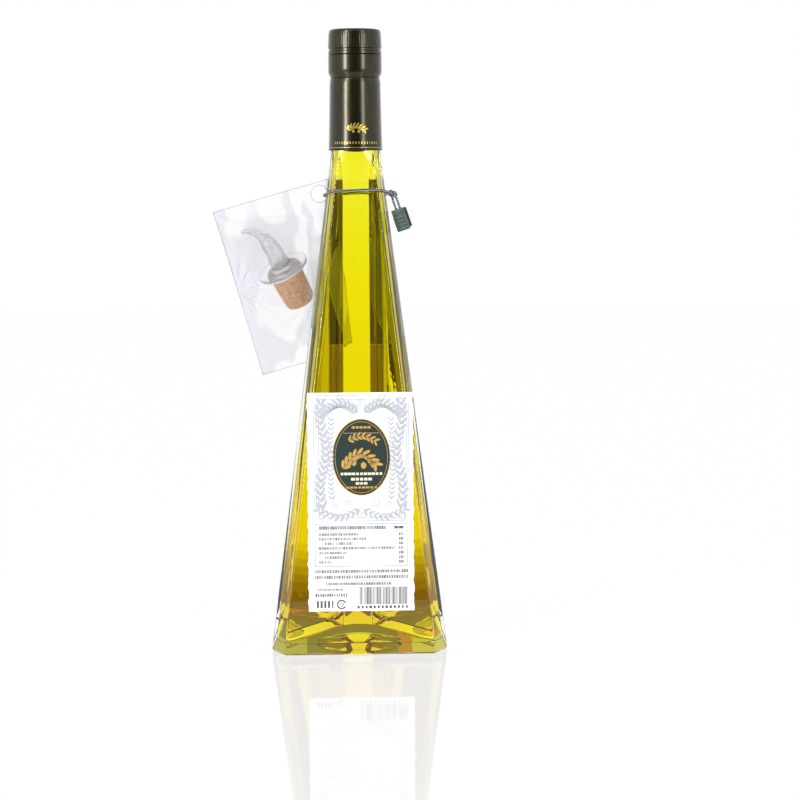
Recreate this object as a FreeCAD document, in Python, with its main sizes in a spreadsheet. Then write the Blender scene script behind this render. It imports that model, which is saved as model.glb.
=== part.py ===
import FreeCAD, Part
import math
import os
import re

import Sketcher
from FreeCAD import Placement, Rotation, Vector

# A tall glass bottle of olive oil, closed by an aluminium screw cap with its
# sleeve. A cord round the neck carries a plastic seal and a clear bag.
# Millimetres, +Z up. The origin is the centre of the base on the floor, and
# the labelled face looks along -Y.

doc = FreeCAD.newDocument("oil_bottle")
sizes = doc.addObject("Spreadsheet::Sheet", "Sizes")

# Every section of the flask is an equilateral triangle with its corners cut
# off: face is the distance from the axis to a face, cut the width of a corner.
DIMENSIONS = [
    ("overall_height", 350.0),
    ("base_face", 33.4),
    ("base_front_cut", 15.0),
    ("base_back_cut", 17.0),
    ("shoulder_height", 266.0),
    ("shoulder_face", 11.85),
    ("shoulder_front_cut", 9.0),
    ("shoulder_back_cut", 15.0),
    ("outer_corner_radius", 1.6),
    ("heel_radius", 2.2),
    ("wall", 3.45),
    ("inner_corner_radius", 3.2),
    ("base_glass", 6.0),
    ("punt_radius", 25.0),
    ("punt_rise", 5.0),
    ("floor_dome_rise", 6.5),
    ("neck_round_height", 290.0),
    ("neck_radius", 13.2),
    ("bore_radius", 9.3),
    ("oil_level", 304.0),
    ("cap_wall", 0.4),
    ("cap_top_radius", 14.4),
    ("cap_bead_radius", 15.1),
    ("cap_groove_radius", 14.65),
    ("cap_radius", 15.0),
    ("cap_shoulder", 1.6),
    ("cap_bead_drop", 10.6),
    ("cap_groove_drop", 12.3),
    ("cap_line_drop", 14.1),
    ("cap_skirt_drop", 24.6),
    ("cap_chamfer", 2.2),
    ("split_radius", 13.8),
    ("split_gap", 0.3),
    ("sleeve_bottom_radius", 15.2),
    ("sleeve_bottom_height", 282.6),
    ("label_width", 59.4),
    ("label_height", 123.0),
    ("label_bottom", 25.0),
    ("label_offset", 0.9),
    ("label_paper", 0.2),
    ("label_gap", 0.05),
    ("label_ripple", 0.45),
    ("cord_diameter", 1.6),
    ("knot_length", 5.8),
    ("knot_width", 5.2),
    ("knot_thickness", 5.0),
    ("strand_length", 9.0),
    ("strand_spacing", 2.4),
    ("seal_width", 7.0),
    ("seal_depth", 6.0),
    ("seal_height", 12.5),
    ("seal_edge", 0.7),
    ("seal_groove_width", 0.9),
    ("seal_groove_depth", 0.35),
    ("seal_groove_pitch", 2.4),
    ("seal_tilt", 19.0),
    ("seal_yaw", 25.0),
    ("bag_width", 72.0),
    ("bag_height", 97.0),
    ("bag_tilt", 16.0),
    ("bag_edge", 0.6),
    ("bag_bulge", 30.0),
    ("bag_hole_radius", 4.6),
    ("bag_hole_inset", 11.5),
    ("bag_hole_drop", 7.0),
]
for row, (alias, value) in enumerate(DIMENSIONS, start=1):
    sizes.set(f"A{row}", alias)
    sizes.set(f"B{row}", str(value))
    sizes.setAlias(f"B{row}", alias)
doc.recompute()
ALIASES = {alias for alias, _ in DIMENSIONS}


def size(alias):
    return float(sizes.get(alias))


def bound(expression):
    """The expression with each named size read from the sheet."""
    return re.sub(r"[a-z_]+", lambda word: "Sizes." * (word[0] in ALIASES) + word[0], expression)


def value_of(expression):
    return float(sizes.evalExpression(bound(expression)))


def plane_of(body, role):
    return next(feature for feature in body.Origin.OriginFeatures if feature.Role == role)


def new_body(label):
    body = doc.addObject("PartDesign::Body", label)
    body.Label = label
    return body


def new_sketch(body, name, role, height="0"):
    """A sketch on one of the body's own origin planes, moved along its normal by height."""
    sketch = body.newObject("Sketcher::SketchObject", name)
    sketch.AttachmentSupport = [(plane_of(body, role), "")]
    sketch.MapMode = "FlatFace"
    if height != "0":
        sketch.setExpression(".AttachmentOffset.Base.z", bound(height))
    return sketch


def pin(sketch, geometry, end, across, up):
    """Fixes one point of a line or circle at (across, up) from the sketch's origin."""
    for kind, axis, expression in (("DistanceX", -2, across), ("DistanceY", -1, up)):
        value = value_of(expression)
        if abs(value) < 1e-9:
            sketch.addConstraint(Sketcher.Constraint("PointOnObject", geometry, end, axis))
            continue
        points = (-1, 1, geometry, end)
        if value < 0:
            points = (geometry, end, -1, 1)
            expression = f"-({expression})"
        number = sketch.addConstraint(Sketcher.Constraint(kind, *points, abs(value)))
        sketch.setExpression(f"Constraints[{number}]", bound(expression))


def draw_outline(sketch, corners):
    """A closed outline of straight lines through corners, pairs of expressions."""
    places = [Vector(value_of(across), value_of(up), 0) for across, up in corners]
    lines = []
    for start, finish in zip(places, places[1:] + places[:1]):
        lines.append(sketch.addGeometry(Part.LineSegment(start, finish), False))
    for line, after in zip(lines, lines[1:] + lines[:1]):
        sketch.addConstraint(Sketcher.Constraint("Coincident", line, 2, after, 1))
    for line, (across, up) in zip(lines, corners):
        pin(sketch, line, 1, across, up)


def draw_circle(sketch, radius, across="0", up="0"):
    middle = Vector(value_of(across), value_of(up), 0)
    circle = sketch.addGeometry(Part.Circle(middle, Vector(0, 0, 1), value_of(radius)), False)
    pin(sketch, circle, 3, across, up)
    number = sketch.addConstraint(Sketcher.Constraint("Radius", circle, value_of(radius)))
    sketch.setExpression(f"Constraints[{number}]", bound(radius))


def revolve(body, name, corners):
    """Turns an outline of (radius, height) pairs once round the Z axis."""
    sketch = new_sketch(body, f"{name}_outline", "XZ_Plane")
    draw_outline(sketch, corners)
    feature = body.newObject("PartDesign::Revolution", name)
    feature.Profile = sketch
    feature.ReferenceAxis = (sketch, ["V_Axis"])
    feature.Angle = 360
    doc.recompute()
    return feature


def pad(body, name, sketch, length):
    feature = body.newObject("PartDesign::Pad", name)
    feature.Profile = sketch
    feature.setExpression("Length", bound(length))
    doc.recompute()
    return feature


def fillet(body, name, base, edges, radius):
    feature = body.newObject("PartDesign::Fillet", name)
    feature.Base = (base, edges)
    feature.setExpression("Radius", bound(radius))
    doc.recompute()
    return feature


def edges_where(feature, wanted):
    return [f"Edge{i}" for i, edge in enumerate(feature.Shape.Edges, start=1) if wanted(edge)]


def flat_face(feature, height):
    """The name of a feature's face whose every corner lies at that height."""
    for number, face in enumerate(feature.Shape.Faces, start=1):
        if all(abs(corner.Z - height) < 1e-4 for corner in face.Vertexes):
            return f"Face{number}"
    raise ValueError(f"{feature.Name} has no flat face at {height}")


# ---- the flask -------------------------------------------------------------


def tapered(name, height):
    """A section's size at a height on the straight taper from base to shoulder."""
    return f"(base_{name} + (shoulder_{name} - base_{name}) * ({height}) / shoulder_height)"


def section_corners(height, inset):
    """The six corners of the section at a height, from the front left round to the right."""
    face = f"({tapered('face', height)} - {inset})"
    front_cut = f"({tapered('front_cut', height)} - 2 / sqrt(3) * {inset})"
    back_cut = f"({tapered('back_cut', height)} - 2 / sqrt(3) * {inset})"
    half_front = f"(sqrt(3) * {face} - {front_cut})"
    half_width = f"(sqrt(3) * {face} - {front_cut} / 2)"
    side = f"(sqrt(3) / 2 * {front_cut} - {face})"
    back = f"(2 * {face} - sqrt(3) / 2 * {back_cut})"
    return [
        (f"-{half_front}", f"-{face}"),
        (half_front, f"-{face}"),
        (half_width, side),
        (f"{back_cut} / 2", back),
        (f"-{back_cut} / 2", back),
        (f"-{half_width}", side),
    ]


def flask_form(label, inset, bottom, corner_radius, neck, top):
    """The three-sided taper, its corners rounded, going over into a round neck."""
    body = new_body(label)
    sections = []
    for name, height in (("bottom", bottom), ("shoulder", "shoulder_height")):
        sketch = new_sketch(body, f"{label}_{name}", "XY_Plane", height)
        draw_outline(sketch, section_corners(height, inset))
        sections.append(sketch)
    taper = body.newObject("PartDesign::AdditiveLoft", f"{label}_taper")
    taper.Profile = sections[0]
    taper.Sections = [sections[1]]
    taper.Ruled = True
    doc.recompute()
    upright = edges_where(taper, lambda edge: edge.BoundBox.ZLength > 1)
    rounded = fillet(body, f"{label}_corners", taper, upright, corner_radius)
    ring = new_sketch(body, f"{label}_ring", "XY_Plane", "neck_round_height")
    draw_circle(ring, neck)
    blend = body.newObject("PartDesign::AdditiveLoft", f"{label}_blend")
    blend.Profile = (rounded, [flat_face(rounded, size("shoulder_height"))])
    blend.Sections = [ring]
    blend.Ruled = True
    doc.recompute()
    collar = new_sketch(body, f"{label}_collar", "XY_Plane", "neck_round_height")
    draw_circle(collar, neck)
    pad(body, f"{label}_neck", collar, f"{top} - neck_round_height")
    return body


def dome(label, radius, low, rise, below):
    """A solid of revolution whose top is a shallow dome over a cylinder's foot."""
    body = new_body(label)
    sketch = new_sketch(body, f"{label}_outline", "XZ_Plane")
    half_chord, height = value_of(radius), value_of(rise)
    sphere = (half_chord**2 + height**2) / (2 * height)
    middle = value_of(low) + height - sphere
    foot = Vector(half_chord, value_of(low), 0)
    tip = Vector(0, value_of(low) + height, 0)
    start = math.atan2(foot.y - middle, foot.x)
    circle = Part.Circle(Vector(0, middle, 0), Vector(0, 0, 1), sphere)
    arc = sketch.addGeometry(Part.ArcOfCircle(circle, start, math.pi / 2), False)
    deep = value_of(below)
    down = sketch.addGeometry(Part.LineSegment(tip, Vector(0, deep, 0)), False)
    across = sketch.addGeometry(Part.LineSegment(Vector(0, deep, 0), Vector(foot.x, deep, 0)), False)
    up = sketch.addGeometry(Part.LineSegment(Vector(foot.x, deep, 0), foot), False)
    for first, second in ((arc, down), (down, across), (across, up)):
        sketch.addConstraint(Sketcher.Constraint("Coincident", first, 2, second, 1))
    sketch.addConstraint(Sketcher.Constraint("Coincident", up, 2, arc, 1))
    sketch.addConstraint(Sketcher.Constraint("PointOnObject", arc, 3, -2))
    pin(sketch, down, 1, "0", f"{low} + {rise}")
    pin(sketch, across, 1, "0", below)
    pin(sketch, up, 1, radius, below)
    pin(sketch, arc, 1, radius, low)
    feature = body.newObject("PartDesign::Revolution", f"{label}_turned")
    feature.Profile = sketch
    feature.ReferenceAxis = (sketch, ["V_Axis"])
    feature.Angle = 360
    doc.recompute()
    return body


def boolean(kind, label, base, tool):
    result = doc.addObject(f"Part::{kind}", label)
    result.Label = label
    result.Base = base
    result.Tool = tool
    doc.recompute()
    return result


def make_glass_and_oil():
    rim = "(overall_height - cap_wall)"
    outside = flask_form("flask_outside", "0", "0", "outer_corner_radius", "neck_radius", rim)
    foot = edges_where(
        outside.Tip,
        lambda edge: edge.BoundBox.ZMax < 1e-4,
    )
    fillet(outside, "heel", outside.Tip, foot, "heel_radius")
    cavity = flask_form("flask_cavity", "wall", "base_glass", "inner_corner_radius", "bore_radius", rim)
    floor = dome("floor_dome", "(base_face - wall)", "base_glass - 1", "floor_dome_rise", "base_glass - 2")
    hollow = boolean("Cut", "flask_hollow", cavity, floor)
    punt = dome("punt_dome", "punt_radius", "0", "punt_rise", "-1")
    solid = boolean("Cut", "flask_solid", outside, punt)
    glass = boolean("Cut", "bottle_glass", solid, hollow)
    level = doc.addObject("Part::Box", "below_oil_level")
    reach = size("base_face") * 4
    level.Length = level.Width = reach
    level.Placement = Placement(Vector(-reach / 2, -reach / 2, 0), Rotation())
    level.setExpression("Height", bound("oil_level"))
    oil = boolean("Common", "olive_oil", hollow, level)
    return {"bottle_glass": glass, "olive_oil": oil}


# ---- the closure -----------------------------------------------------------


def make_screw_cap():
    """The pressed aluminium cap: rounded top edge, bead, groove, plain wall and a step in."""
    body = new_body("screw_cap")
    top = "overall_height"
    outside = [
        ("0", top),
        ("cap_top_radius - cap_shoulder", top),
        ("cap_top_radius - cap_shoulder * 0.3", f"{top} - cap_shoulder * 0.3"),
        ("cap_top_radius", f"{top} - cap_shoulder"),
        ("cap_bead_radius", f"{top} - cap_bead_drop"),
        ("cap_groove_radius", f"{top} - (cap_bead_drop + cap_groove_drop) / 2"),
        ("cap_groove_radius", f"{top} - cap_groove_drop"),
        ("cap_radius", f"{top} - cap_line_drop"),
        ("cap_radius", f"{top} - cap_skirt_drop"),
        ("split_radius", f"{top} - cap_skirt_drop - cap_chamfer"),
    ]
    inside = [
        ("split_radius - cap_wall", f"{top} - cap_skirt_drop - cap_chamfer"),
        ("split_radius - cap_wall", f"{top} - cap_wall"),
        ("0", f"{top} - cap_wall"),
    ]
    revolve(body, "pressed_cap", outside + inside)
    return {"screw_cap": body}


def make_capsule_sleeve():
    """The sleeve that stays on the neck, a little wider at its lower edge."""
    body = new_body("capsule_sleeve")
    top = "(overall_height - cap_skirt_drop - cap_chamfer - split_gap)"
    outline = [
        ("split_radius", top),
        ("sleeve_bottom_radius", "sleeve_bottom_height"),
        ("sleeve_bottom_radius - cap_wall", "sleeve_bottom_height"),
        ("split_radius - cap_wall", top),
    ]
    revolve(body, "rolled_sleeve", outline)
    return {"capsule_sleeve": body}


# ---- the label -------------------------------------------------------------


def ripple(share, seed):
    """The torn look of a deckled edge, from -1 to 1, for a share of the edge's length."""
    turns = 2 * math.pi * share
    waves = ((11, 0.45, 1.0), (17, 0.3, 2.6), (29, 0.25, 4.1))
    return sum(part * math.sin(turns * count + seed * lag) for count, part, lag in waves)


def make_label():
    """A flat paper label on the sloping front face, its side edges deckled."""
    half, tall, deep = size("label_width") / 2, size("label_height"), size("label_ripple")
    steps = 72
    right, left = [], []
    for i in range(steps + 1):
        share = i / steps
        right.append(Vector(half + deep * ripple(share, 1.0), 0, tall * share))
        left.append(Vector(-half + deep * ripple(share, 2.3), 0, tall * share))
    outline = right + left[::-1]
    sheet = Part.Face(Part.makePolygon(outline + outline[:1]))
    label = doc.addObject("Part::Feature", "label")
    label.Label = "label"
    label.Shape = sheet.extrude(Vector(0, -size("label_paper"), 0))
    fall = (size("base_face") - size("shoulder_face")) / size("shoulder_height")
    lean = math.atan(fall)
    low = size("label_bottom")
    front = -(size("base_face") - fall * low) - size("label_gap") / math.cos(lean)
    turn = Rotation(Vector(1, 0, 0), -math.degrees(lean))
    label.Placement = Placement(Vector(size("label_offset"), front, low), turn)
    return {"label": label}


# ---- the cord, its knot and seal ------------------------------------------

# The cord leaves the knot at the right, lies across the front, hangs round the
# left corner, where the bag is threaded on, and comes back behind the neck.
CORD_ROUTE = [
    Vector(20.0, -5.6, 258.6),
    Vector(13.6, -14.9, 260.7),
    Vector(-12.8, -15.2, 260.2),
    Vector(-19.9, -4.0, 257.0),
    Vector(-9.4, 14.9, 257.4),
    Vector(9.3, 14.9, 258.3),
    Vector(20.6, -4.4, 258.4),
]
KNOT_MIDDLE = Vector(20.6, -5.2, 258.3)
SEAL_TOP = Vector(23.6, -5.6, 249.9)


def rounded_path(route):
    """Straight runs joined by arcs as large as the runs allow."""
    edges = []
    start = route[0]
    for before, corner, after in zip(route, route[1:], route[2:]):
        back, ahead = before - corner, after - corner
        turn = math.pi - back.getAngle(ahead)
        reach = 0.45 * min(back.Length, ahead.Length)
        radius = reach / math.tan(turn / 2)
        print(f"cord arc: radius {radius:.2f} mm, turn {math.degrees(turn):.0f} degrees")
        back.normalize()
        ahead.normalize()
        into, out = corner + back * reach, corner + ahead * reach
        inward = back + ahead
        inward.normalize()
        middle = corner + inward * (radius / math.cos(turn / 2) - radius)
        edges.append(Part.LineSegment(start, into).toShape())
        edges.append(Part.Arc(into, middle, out).toShape())
        start = out
    edges.append(Part.LineSegment(start, route[-1]).toShape())
    return Part.Wire(edges)


def tube(name, path):
    first = path.Edges[0]
    start = first.valueAt(first.FirstParameter)
    along = first.tangentAt(first.FirstParameter)
    ring = Part.Wire(Part.makeCircle(size("cord_diameter") / 2, start, along))
    piece = doc.addObject("Part::Feature", name)
    piece.Shape = path.makePipeShell([ring], True, True)
    area = math.pi * size("cord_diameter") ** 2 / 4
    print(f"{name}: {piece.Shape.Volume:.1f} mm3, section times length {area * path.Length:.1f}, "
          f"length {path.Length:.1f} mm")
    return piece


def seal_turn():
    tilt = Rotation(Vector(0, 1, 0), -size("seal_tilt"))
    yaw = Rotation(Vector(0, 0, 1), -size("seal_yaw"))
    return tilt.multiply(yaw)


def make_cord():
    knot = doc.addObject("Part::Ellipsoid", "cord_knot")
    knot.Label = "cord_knot"
    for property_name, alias in (
        ("Radius1", "knot_thickness"),
        ("Radius2", "knot_length"),
        ("Radius3", "knot_width"),
    ):
        knot.setExpression(property_name, bound(f"{alias} / 2"))
    knot.Placement = Placement(KNOT_MIDDLE, Rotation(Vector(0, 1, 0), 20))
    doc.recompute()
    pieces = {"cord_knot": knot}
    whole = tube("cord_round_neck", rounded_path(CORD_ROUTE))
    pieces["neck_cord"] = boolean("Cut", "neck_cord", whole, knot)
    turn = seal_turn()
    for side, name in ((-1, "seal_cord_left"), (1, "seal_cord_right")):
        foot = SEAL_TOP + turn.multVec(Vector(side * size("strand_spacing") / 2, 0, 0))
        head = foot + turn.multVec(Vector(0, 0, size("strand_length")))
        strand = tube(f"{name}_run", Part.Wire([Part.LineSegment(foot, head).toShape()]))
        pieces[name] = boolean("Cut", name, strand, knot)
    return pieces


def make_seal():
    """A small moulded lock with grip grooves across its front."""
    body = new_body("cord_seal")
    block = new_sketch(body, "seal_block", "XY_Plane", "-seal_height")
    half_width, half_depth = "seal_width / 2", "seal_depth / 2"
    draw_outline(block, [
        (f"-{half_width}", f"-{half_depth}"),
        (half_width, f"-{half_depth}"),
        (half_width, half_depth),
        (f"-{half_width}", half_depth),
    ])
    solid = pad(body, "seal_solid", block, "seal_height")
    upright = edges_where(solid, lambda edge: edge.BoundBox.ZLength > 1)
    fillet(body, "seal_edges", solid, upright, "seal_edge")
    for number in range(3):
        middle = f"(-seal_height * 0.42 - {number} * seal_groove_pitch)"
        groove = new_sketch(body, f"seal_groove_{number}", "XZ_Plane", half_depth)
        draw_outline(groove, [
            (f"-{half_width} + seal_edge * 2", f"{middle} - seal_groove_width / 2"),
            (f"{half_width} - seal_edge * 2", f"{middle} - seal_groove_width / 2"),
            (f"{half_width} - seal_edge * 2", f"{middle} + seal_groove_width / 2"),
            (f"-{half_width} + seal_edge * 2", f"{middle} + seal_groove_width / 2"),
        ])
        cut = body.newObject("PartDesign::Pocket", f"seal_grip_{number}")
        cut.Profile = groove
        cut.setExpression("Length", bound("seal_groove_depth"))
        volume = solid.Shape.Volume
        doc.recompute()
        if cut.Shape.Volume >= volume:
            raise ValueError("a grip groove cuts nothing")
    body.Placement = Placement(SEAL_TOP, seal_turn())
    return {"cord_seal": body}


# ---- the bag ---------------------------------------------------------------

# The top left corner of the hanging bag, and where its film starts to bend
# back round the bottle, as a distance across it at the top and bottom edges.
BAG_CORNER = Vector(-80.6, 0, 248.5)
BAG_BEND_TOP, BAG_BEND_FOOT = 61.5, 30.0
BAG_BEND_RADIUS, BAG_BEND_ANGLE = 8.0, math.radians(60)
BAG_DEPTH_TOP, BAG_DEPTH_FOOT, BAG_DEPTH_RUN = -4.0, 5.0, 40.0
# The middle of what the bag holds, and how wide and tall its bulge spreads.
BAG_BULGE_ACROSS, BAG_BULGE_DOWN = 28.5, 44.0
BAG_BULGE_WIDE, BAG_BULGE_TALL = 11.0, 17.0


def bag_middle(across, down):
    """The film's place along its top edge and behind it, and the angle that it has turned to."""
    share = down / size("bag_height")
    bend = BAG_BEND_TOP + (BAG_BEND_FOOT - BAG_BEND_TOP) * share
    past = across - bend
    if past <= 0:
        return across, 0.0, 0.0
    angle = min(past / BAG_BEND_RADIUS, BAG_BEND_ANGLE)
    rest = past - angle * BAG_BEND_RADIUS
    along = bend + BAG_BEND_RADIUS * math.sin(angle) + rest * math.cos(angle)
    behind = BAG_BEND_RADIUS * (1 - math.cos(angle)) + rest * math.sin(angle)
    return along, behind, angle


def bag_point(across, down, side):
    along, behind, angle = bag_middle(across, down)
    ease = min(1.0, down / BAG_DEPTH_RUN)
    ease = ease * ease * (3 - 2 * ease)
    behind += BAG_DEPTH_TOP + (BAG_DEPTH_FOOT - BAG_DEPTH_TOP) * ease
    spread = ((across - BAG_BULGE_ACROSS) / BAG_BULGE_WIDE) ** 2
    spread += ((down - BAG_BULGE_DOWN) / BAG_BULGE_TALL) ** 2
    thick = size("bag_edge") + size("bag_bulge") * math.exp(-spread / 2)
    along -= side * thick / 2 * math.sin(angle)
    behind += side * thick / 2 * math.cos(angle)
    tilt = math.radians(size("bag_tilt"))
    x = along * math.cos(tilt) + down * math.sin(tilt)
    z = along * math.sin(tilt) - down * math.cos(tilt)
    return BAG_CORNER + Vector(x, behind, z)


def triangle(a, b, c):
    return Part.Face(Part.makePolygon([a, b, c, a]))


def make_bag():
    """The sealed bag as one pillow of facets, with a hang hole near its top corner."""
    columns, rows = 24, 28
    wide, tall = size("bag_width"), size("bag_height")
    grid = {}
    for side in (-1, 1):
        for i in range(columns + 1):
            for j in range(rows + 1):
                grid[side, i, j] = bag_point(wide * i / columns, tall * j / rows, side)
    faces = []
    for side in (-1, 1):
        for i in range(columns):
            for j in range(rows):
                a, b = grid[side, i, j], grid[side, i + 1, j]
                c, d = grid[side, i + 1, j + 1], grid[side, i, j + 1]
                faces += [triangle(a, b, c), triangle(a, c, d)]
    rim = [(i, 0) for i in range(columns)] + [(columns, j) for j in range(rows)]
    rim += [(i, rows) for i in range(columns, 0, -1)] + [(0, j) for j in range(rows, 0, -1)]
    for (i, j), (k, n) in zip(rim, rim[1:] + rim[:1]):
        a, b, c, d = grid[-1, i, j], grid[-1, k, n], grid[1, k, n], grid[1, i, j]
        faces += [triangle(a, b, c), triangle(a, c, d)]
    shell = Part.makeShell(faces)
    shell.sewShape()
    solid = Part.makeSolid(shell)
    if solid.Volume < 0:
        solid.reverse()
    pouch = doc.addObject("Part::Feature", "bag_pouch")
    pouch.Shape = solid
    hole = doc.addObject("Part::Cylinder", "bag_hang_hole")
    hole.setExpression("Radius", bound("bag_hole_radius"))
    hole.Height = 30
    across = wide - size("bag_hole_inset")
    middle = bag_point(across, size("bag_hole_drop"), 0)
    hole.Placement = Placement(middle + Vector(0, 15, 0), Rotation(Vector(1, 0, 0), 90))
    return {"pourer_bag": boolean("Cut", "pourer_bag", pouch, hole)}


def main():
    pieces = {}
    for make in (
        make_glass_and_oil,
        make_screw_cap,
        make_capsule_sleeve,
        make_label,
        make_cord,
        make_seal,
        make_bag,
    ):
        pieces.update(make())
    doc.recompute()
    for item in doc.Objects:
        if {"Invalid", "Error"} & set(item.State):
            raise ValueError(f"{item.Name} didn't recompute: {item.State}")
    for name, item in pieces.items():
        if item.Shape.isNull() or not item.Shape.isValid():
            raise ValueError(f"{name} has no valid shape")
    os.makedirs("parts", exist_ok=True)
    for name, item in pieces.items():
        shape = item.Shape
        solids = shape.Solids
        print(f"{name}: {len(solids)} solid, {shape.Volume / 1000:.2f} cm3")
        shape.exportStep(f"parts/{name}.step")


main()
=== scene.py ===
import math

import bmesh
import bpy
from mathutils import Matrix, Vector, noise


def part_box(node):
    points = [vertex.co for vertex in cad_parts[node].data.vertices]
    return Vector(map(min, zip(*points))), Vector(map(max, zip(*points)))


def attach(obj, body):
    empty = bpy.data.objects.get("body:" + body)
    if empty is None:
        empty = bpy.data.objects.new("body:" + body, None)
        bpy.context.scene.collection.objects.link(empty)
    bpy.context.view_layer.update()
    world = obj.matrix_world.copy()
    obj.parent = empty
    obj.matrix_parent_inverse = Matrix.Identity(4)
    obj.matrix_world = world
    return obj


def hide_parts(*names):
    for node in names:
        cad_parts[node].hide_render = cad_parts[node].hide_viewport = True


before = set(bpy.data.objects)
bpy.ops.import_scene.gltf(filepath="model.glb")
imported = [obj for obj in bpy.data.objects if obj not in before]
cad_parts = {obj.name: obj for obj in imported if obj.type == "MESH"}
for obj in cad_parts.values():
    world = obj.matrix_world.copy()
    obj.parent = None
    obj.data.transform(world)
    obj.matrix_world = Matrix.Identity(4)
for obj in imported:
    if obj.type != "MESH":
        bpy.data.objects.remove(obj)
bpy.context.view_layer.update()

# A three-sided flask of olive oil, its paper label, its aluminium cap and
# sleeve, and the cord round its neck with a seal and a bag that holds a pourer.
# Millimetres below; MM turns them to the frame's metres.
MM = 0.001
SQRT3 = math.sqrt(3)

# The flask's own sizes: distance of a face from the axis and width of a corner
# cut, at the base and at the shoulder.
BASE_FACE, BASE_FRONT_CUT, BASE_BACK_CUT = 33.4, 15.0, 17.0
SHOULDER_FACE, SHOULDER_FRONT_CUT, SHOULDER_BACK_CUT = 11.85, 9.0, 15.0
SHOULDER, NECK_START, NECK_RADIUS, BORE_RADIUS = 266.0, 290.0, 13.2, 9.3
WALL, HEEL, PUNT_RADIUS, PUNT_RISE = 3.45, 2.2, 25.0, 5.0
FLOOR, DOME_LOW, DOME_RISE = 6.0, 5.0, 6.5
OUTER_CORNER, INNER_CORNER = 1.6, 3.2
NECK_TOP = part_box("bottle_glass")[1].z / MM
OIL_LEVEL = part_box("olive_oil")[1].z / MM
FACE_LEAN = math.atan((BASE_FACE - SHOULDER_FACE) / SHOULDER)

# The cord's route round the neck, from the knot and back to it.
CORD_ROUTE = [
    (20.0, -5.6, 258.6),
    (13.6, -14.9, 260.7),
    (3.6, -15.6, 260.6),
    (-3.2, -15.7, 260.4),
    (-12.8, -15.2, 260.2),
    (-19.9, -4.0, 257.0),
    (-9.4, 14.9, 257.4),
    (9.3, 14.9, 258.3),
    (20.6, -4.4, 258.4),
]
KNOT_MIDDLE = Vector((20.6, -5.2, 258.3))
KNOT_SIZE = Vector((5.8, 5.2, 5.0))
STRAND_LENGTH, STRAND_SPACING = 9.0, 2.4
SEAL_TOP = Vector((23.6, -5.6, 249.9))
SEAL_WIDTH, SEAL_DEPTH, SEAL_HEIGHT = 7.0, 6.0, 12.5
SEAL_TILT, SEAL_YAW = 19.0, 25.0


# ---- helpers -----------------------------------------------------------------

def linear(hex_colour):
    """An sRGB hex colour as the linear colour that the shaders take."""
    parts = [int(hex_colour[i:i + 2], 16) / 255 for i in (1, 3, 5)]
    return [p / 12.92 if p <= 0.04045 else ((p + 0.055) / 1.055) ** 2.4 for p in parts] + [1.0]


def add_node(tree, kind, inputs=None, **settings):
    """One node with its settings; an input is a value or the socket that feeds it."""
    node = tree.nodes.new(kind)
    for name, value in settings.items():
        setattr(node, name, value)
    for socket, value in (inputs or {}).items():
        if isinstance(value, bpy.types.NodeSocket):
            tree.links.new(value, node.inputs[socket])
        else:
            node.inputs[socket].default_value = value
    return node


def new_material(name):
    material = bpy.data.materials.new(name)
    material.use_nodes = True
    material.node_tree.nodes.clear()
    return material, material.node_tree


def finish_material(tree, surface, volume=None):
    inputs = {"Surface": surface}
    if volume is not None:
        inputs["Volume"] = volume
    add_node(tree, "ShaderNodeOutputMaterial", inputs)


def new_piece(name, vertices, faces, material, smooth=True):
    """A mesh piece from points in millimetres."""
    mesh = bpy.data.meshes.new(name)
    mesh.from_pydata([Vector(v) * MM for v in vertices], [], faces)
    mesh.materials.append(material)
    mesh.polygons.foreach_set("use_smooth", [smooth] * len(mesh.polygons))
    mesh.update()
    piece = bpy.data.objects.new(name, mesh)
    bpy.context.collection.objects.link(piece)
    return piece


def skin(rings, start=None, end=None):
    """Vertices and faces over a stack of equal rings, closed by a point at each end that is given."""
    count = len(rings[0])
    vertices = [point for ring in rings for point in ring]
    faces = []
    for k in range(len(rings) - 1):
        for j in range(count):
            a, b = k * count + j, k * count + (j + 1) % count
            faces.append((a, b, b + count, a + count))
    for point, first, turned in ((start, 0, True), (end, (len(rings) - 1) * count, False)):
        if point is None:
            continue
        tip = len(vertices)
        vertices.append(point)
        for j in range(count):
            a, b = first + j, first + (j + 1) % count
            faces.append((b, a, tip) if turned else (a, b, tip))
    return vertices, faces


def lathe(name, profile, material, segments=160, ripple=None):
    """A turned closed piece: the profile's (radius, height) points run from the axis back to the axis."""
    rings = []
    for radius, height in profile[1:-1]:
        ring = []
        for j in range(segments):
            turn = 2 * math.pi * j / segments
            grown = radius + (ripple(turn, height) if ripple else 0.0)
            ring.append((grown * math.cos(turn), grown * math.sin(turn), height))
        rings.append(ring)
    ends = [(0.0, 0.0, profile[k][1]) for k in (0, -1)]
    return new_piece(name, *skin(rings, *ends), material)


def outward(piece):
    """Drops the points that no face uses and turns every face outwards."""
    mesh = bmesh.new()
    mesh.from_mesh(piece.data)
    loose = [vertex for vertex in mesh.verts if not vertex.link_faces]
    bmesh.ops.delete(mesh, geom=loose, context="VERTS")
    bmesh.ops.recalc_face_normals(mesh, faces=mesh.faces[:])
    mesh.to_mesh(piece.data)
    mesh.free()
    return piece


def ride(piece, slot, *nodes):
    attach(piece, "root")
    if nodes:
        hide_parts(*nodes)
    return piece


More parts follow.
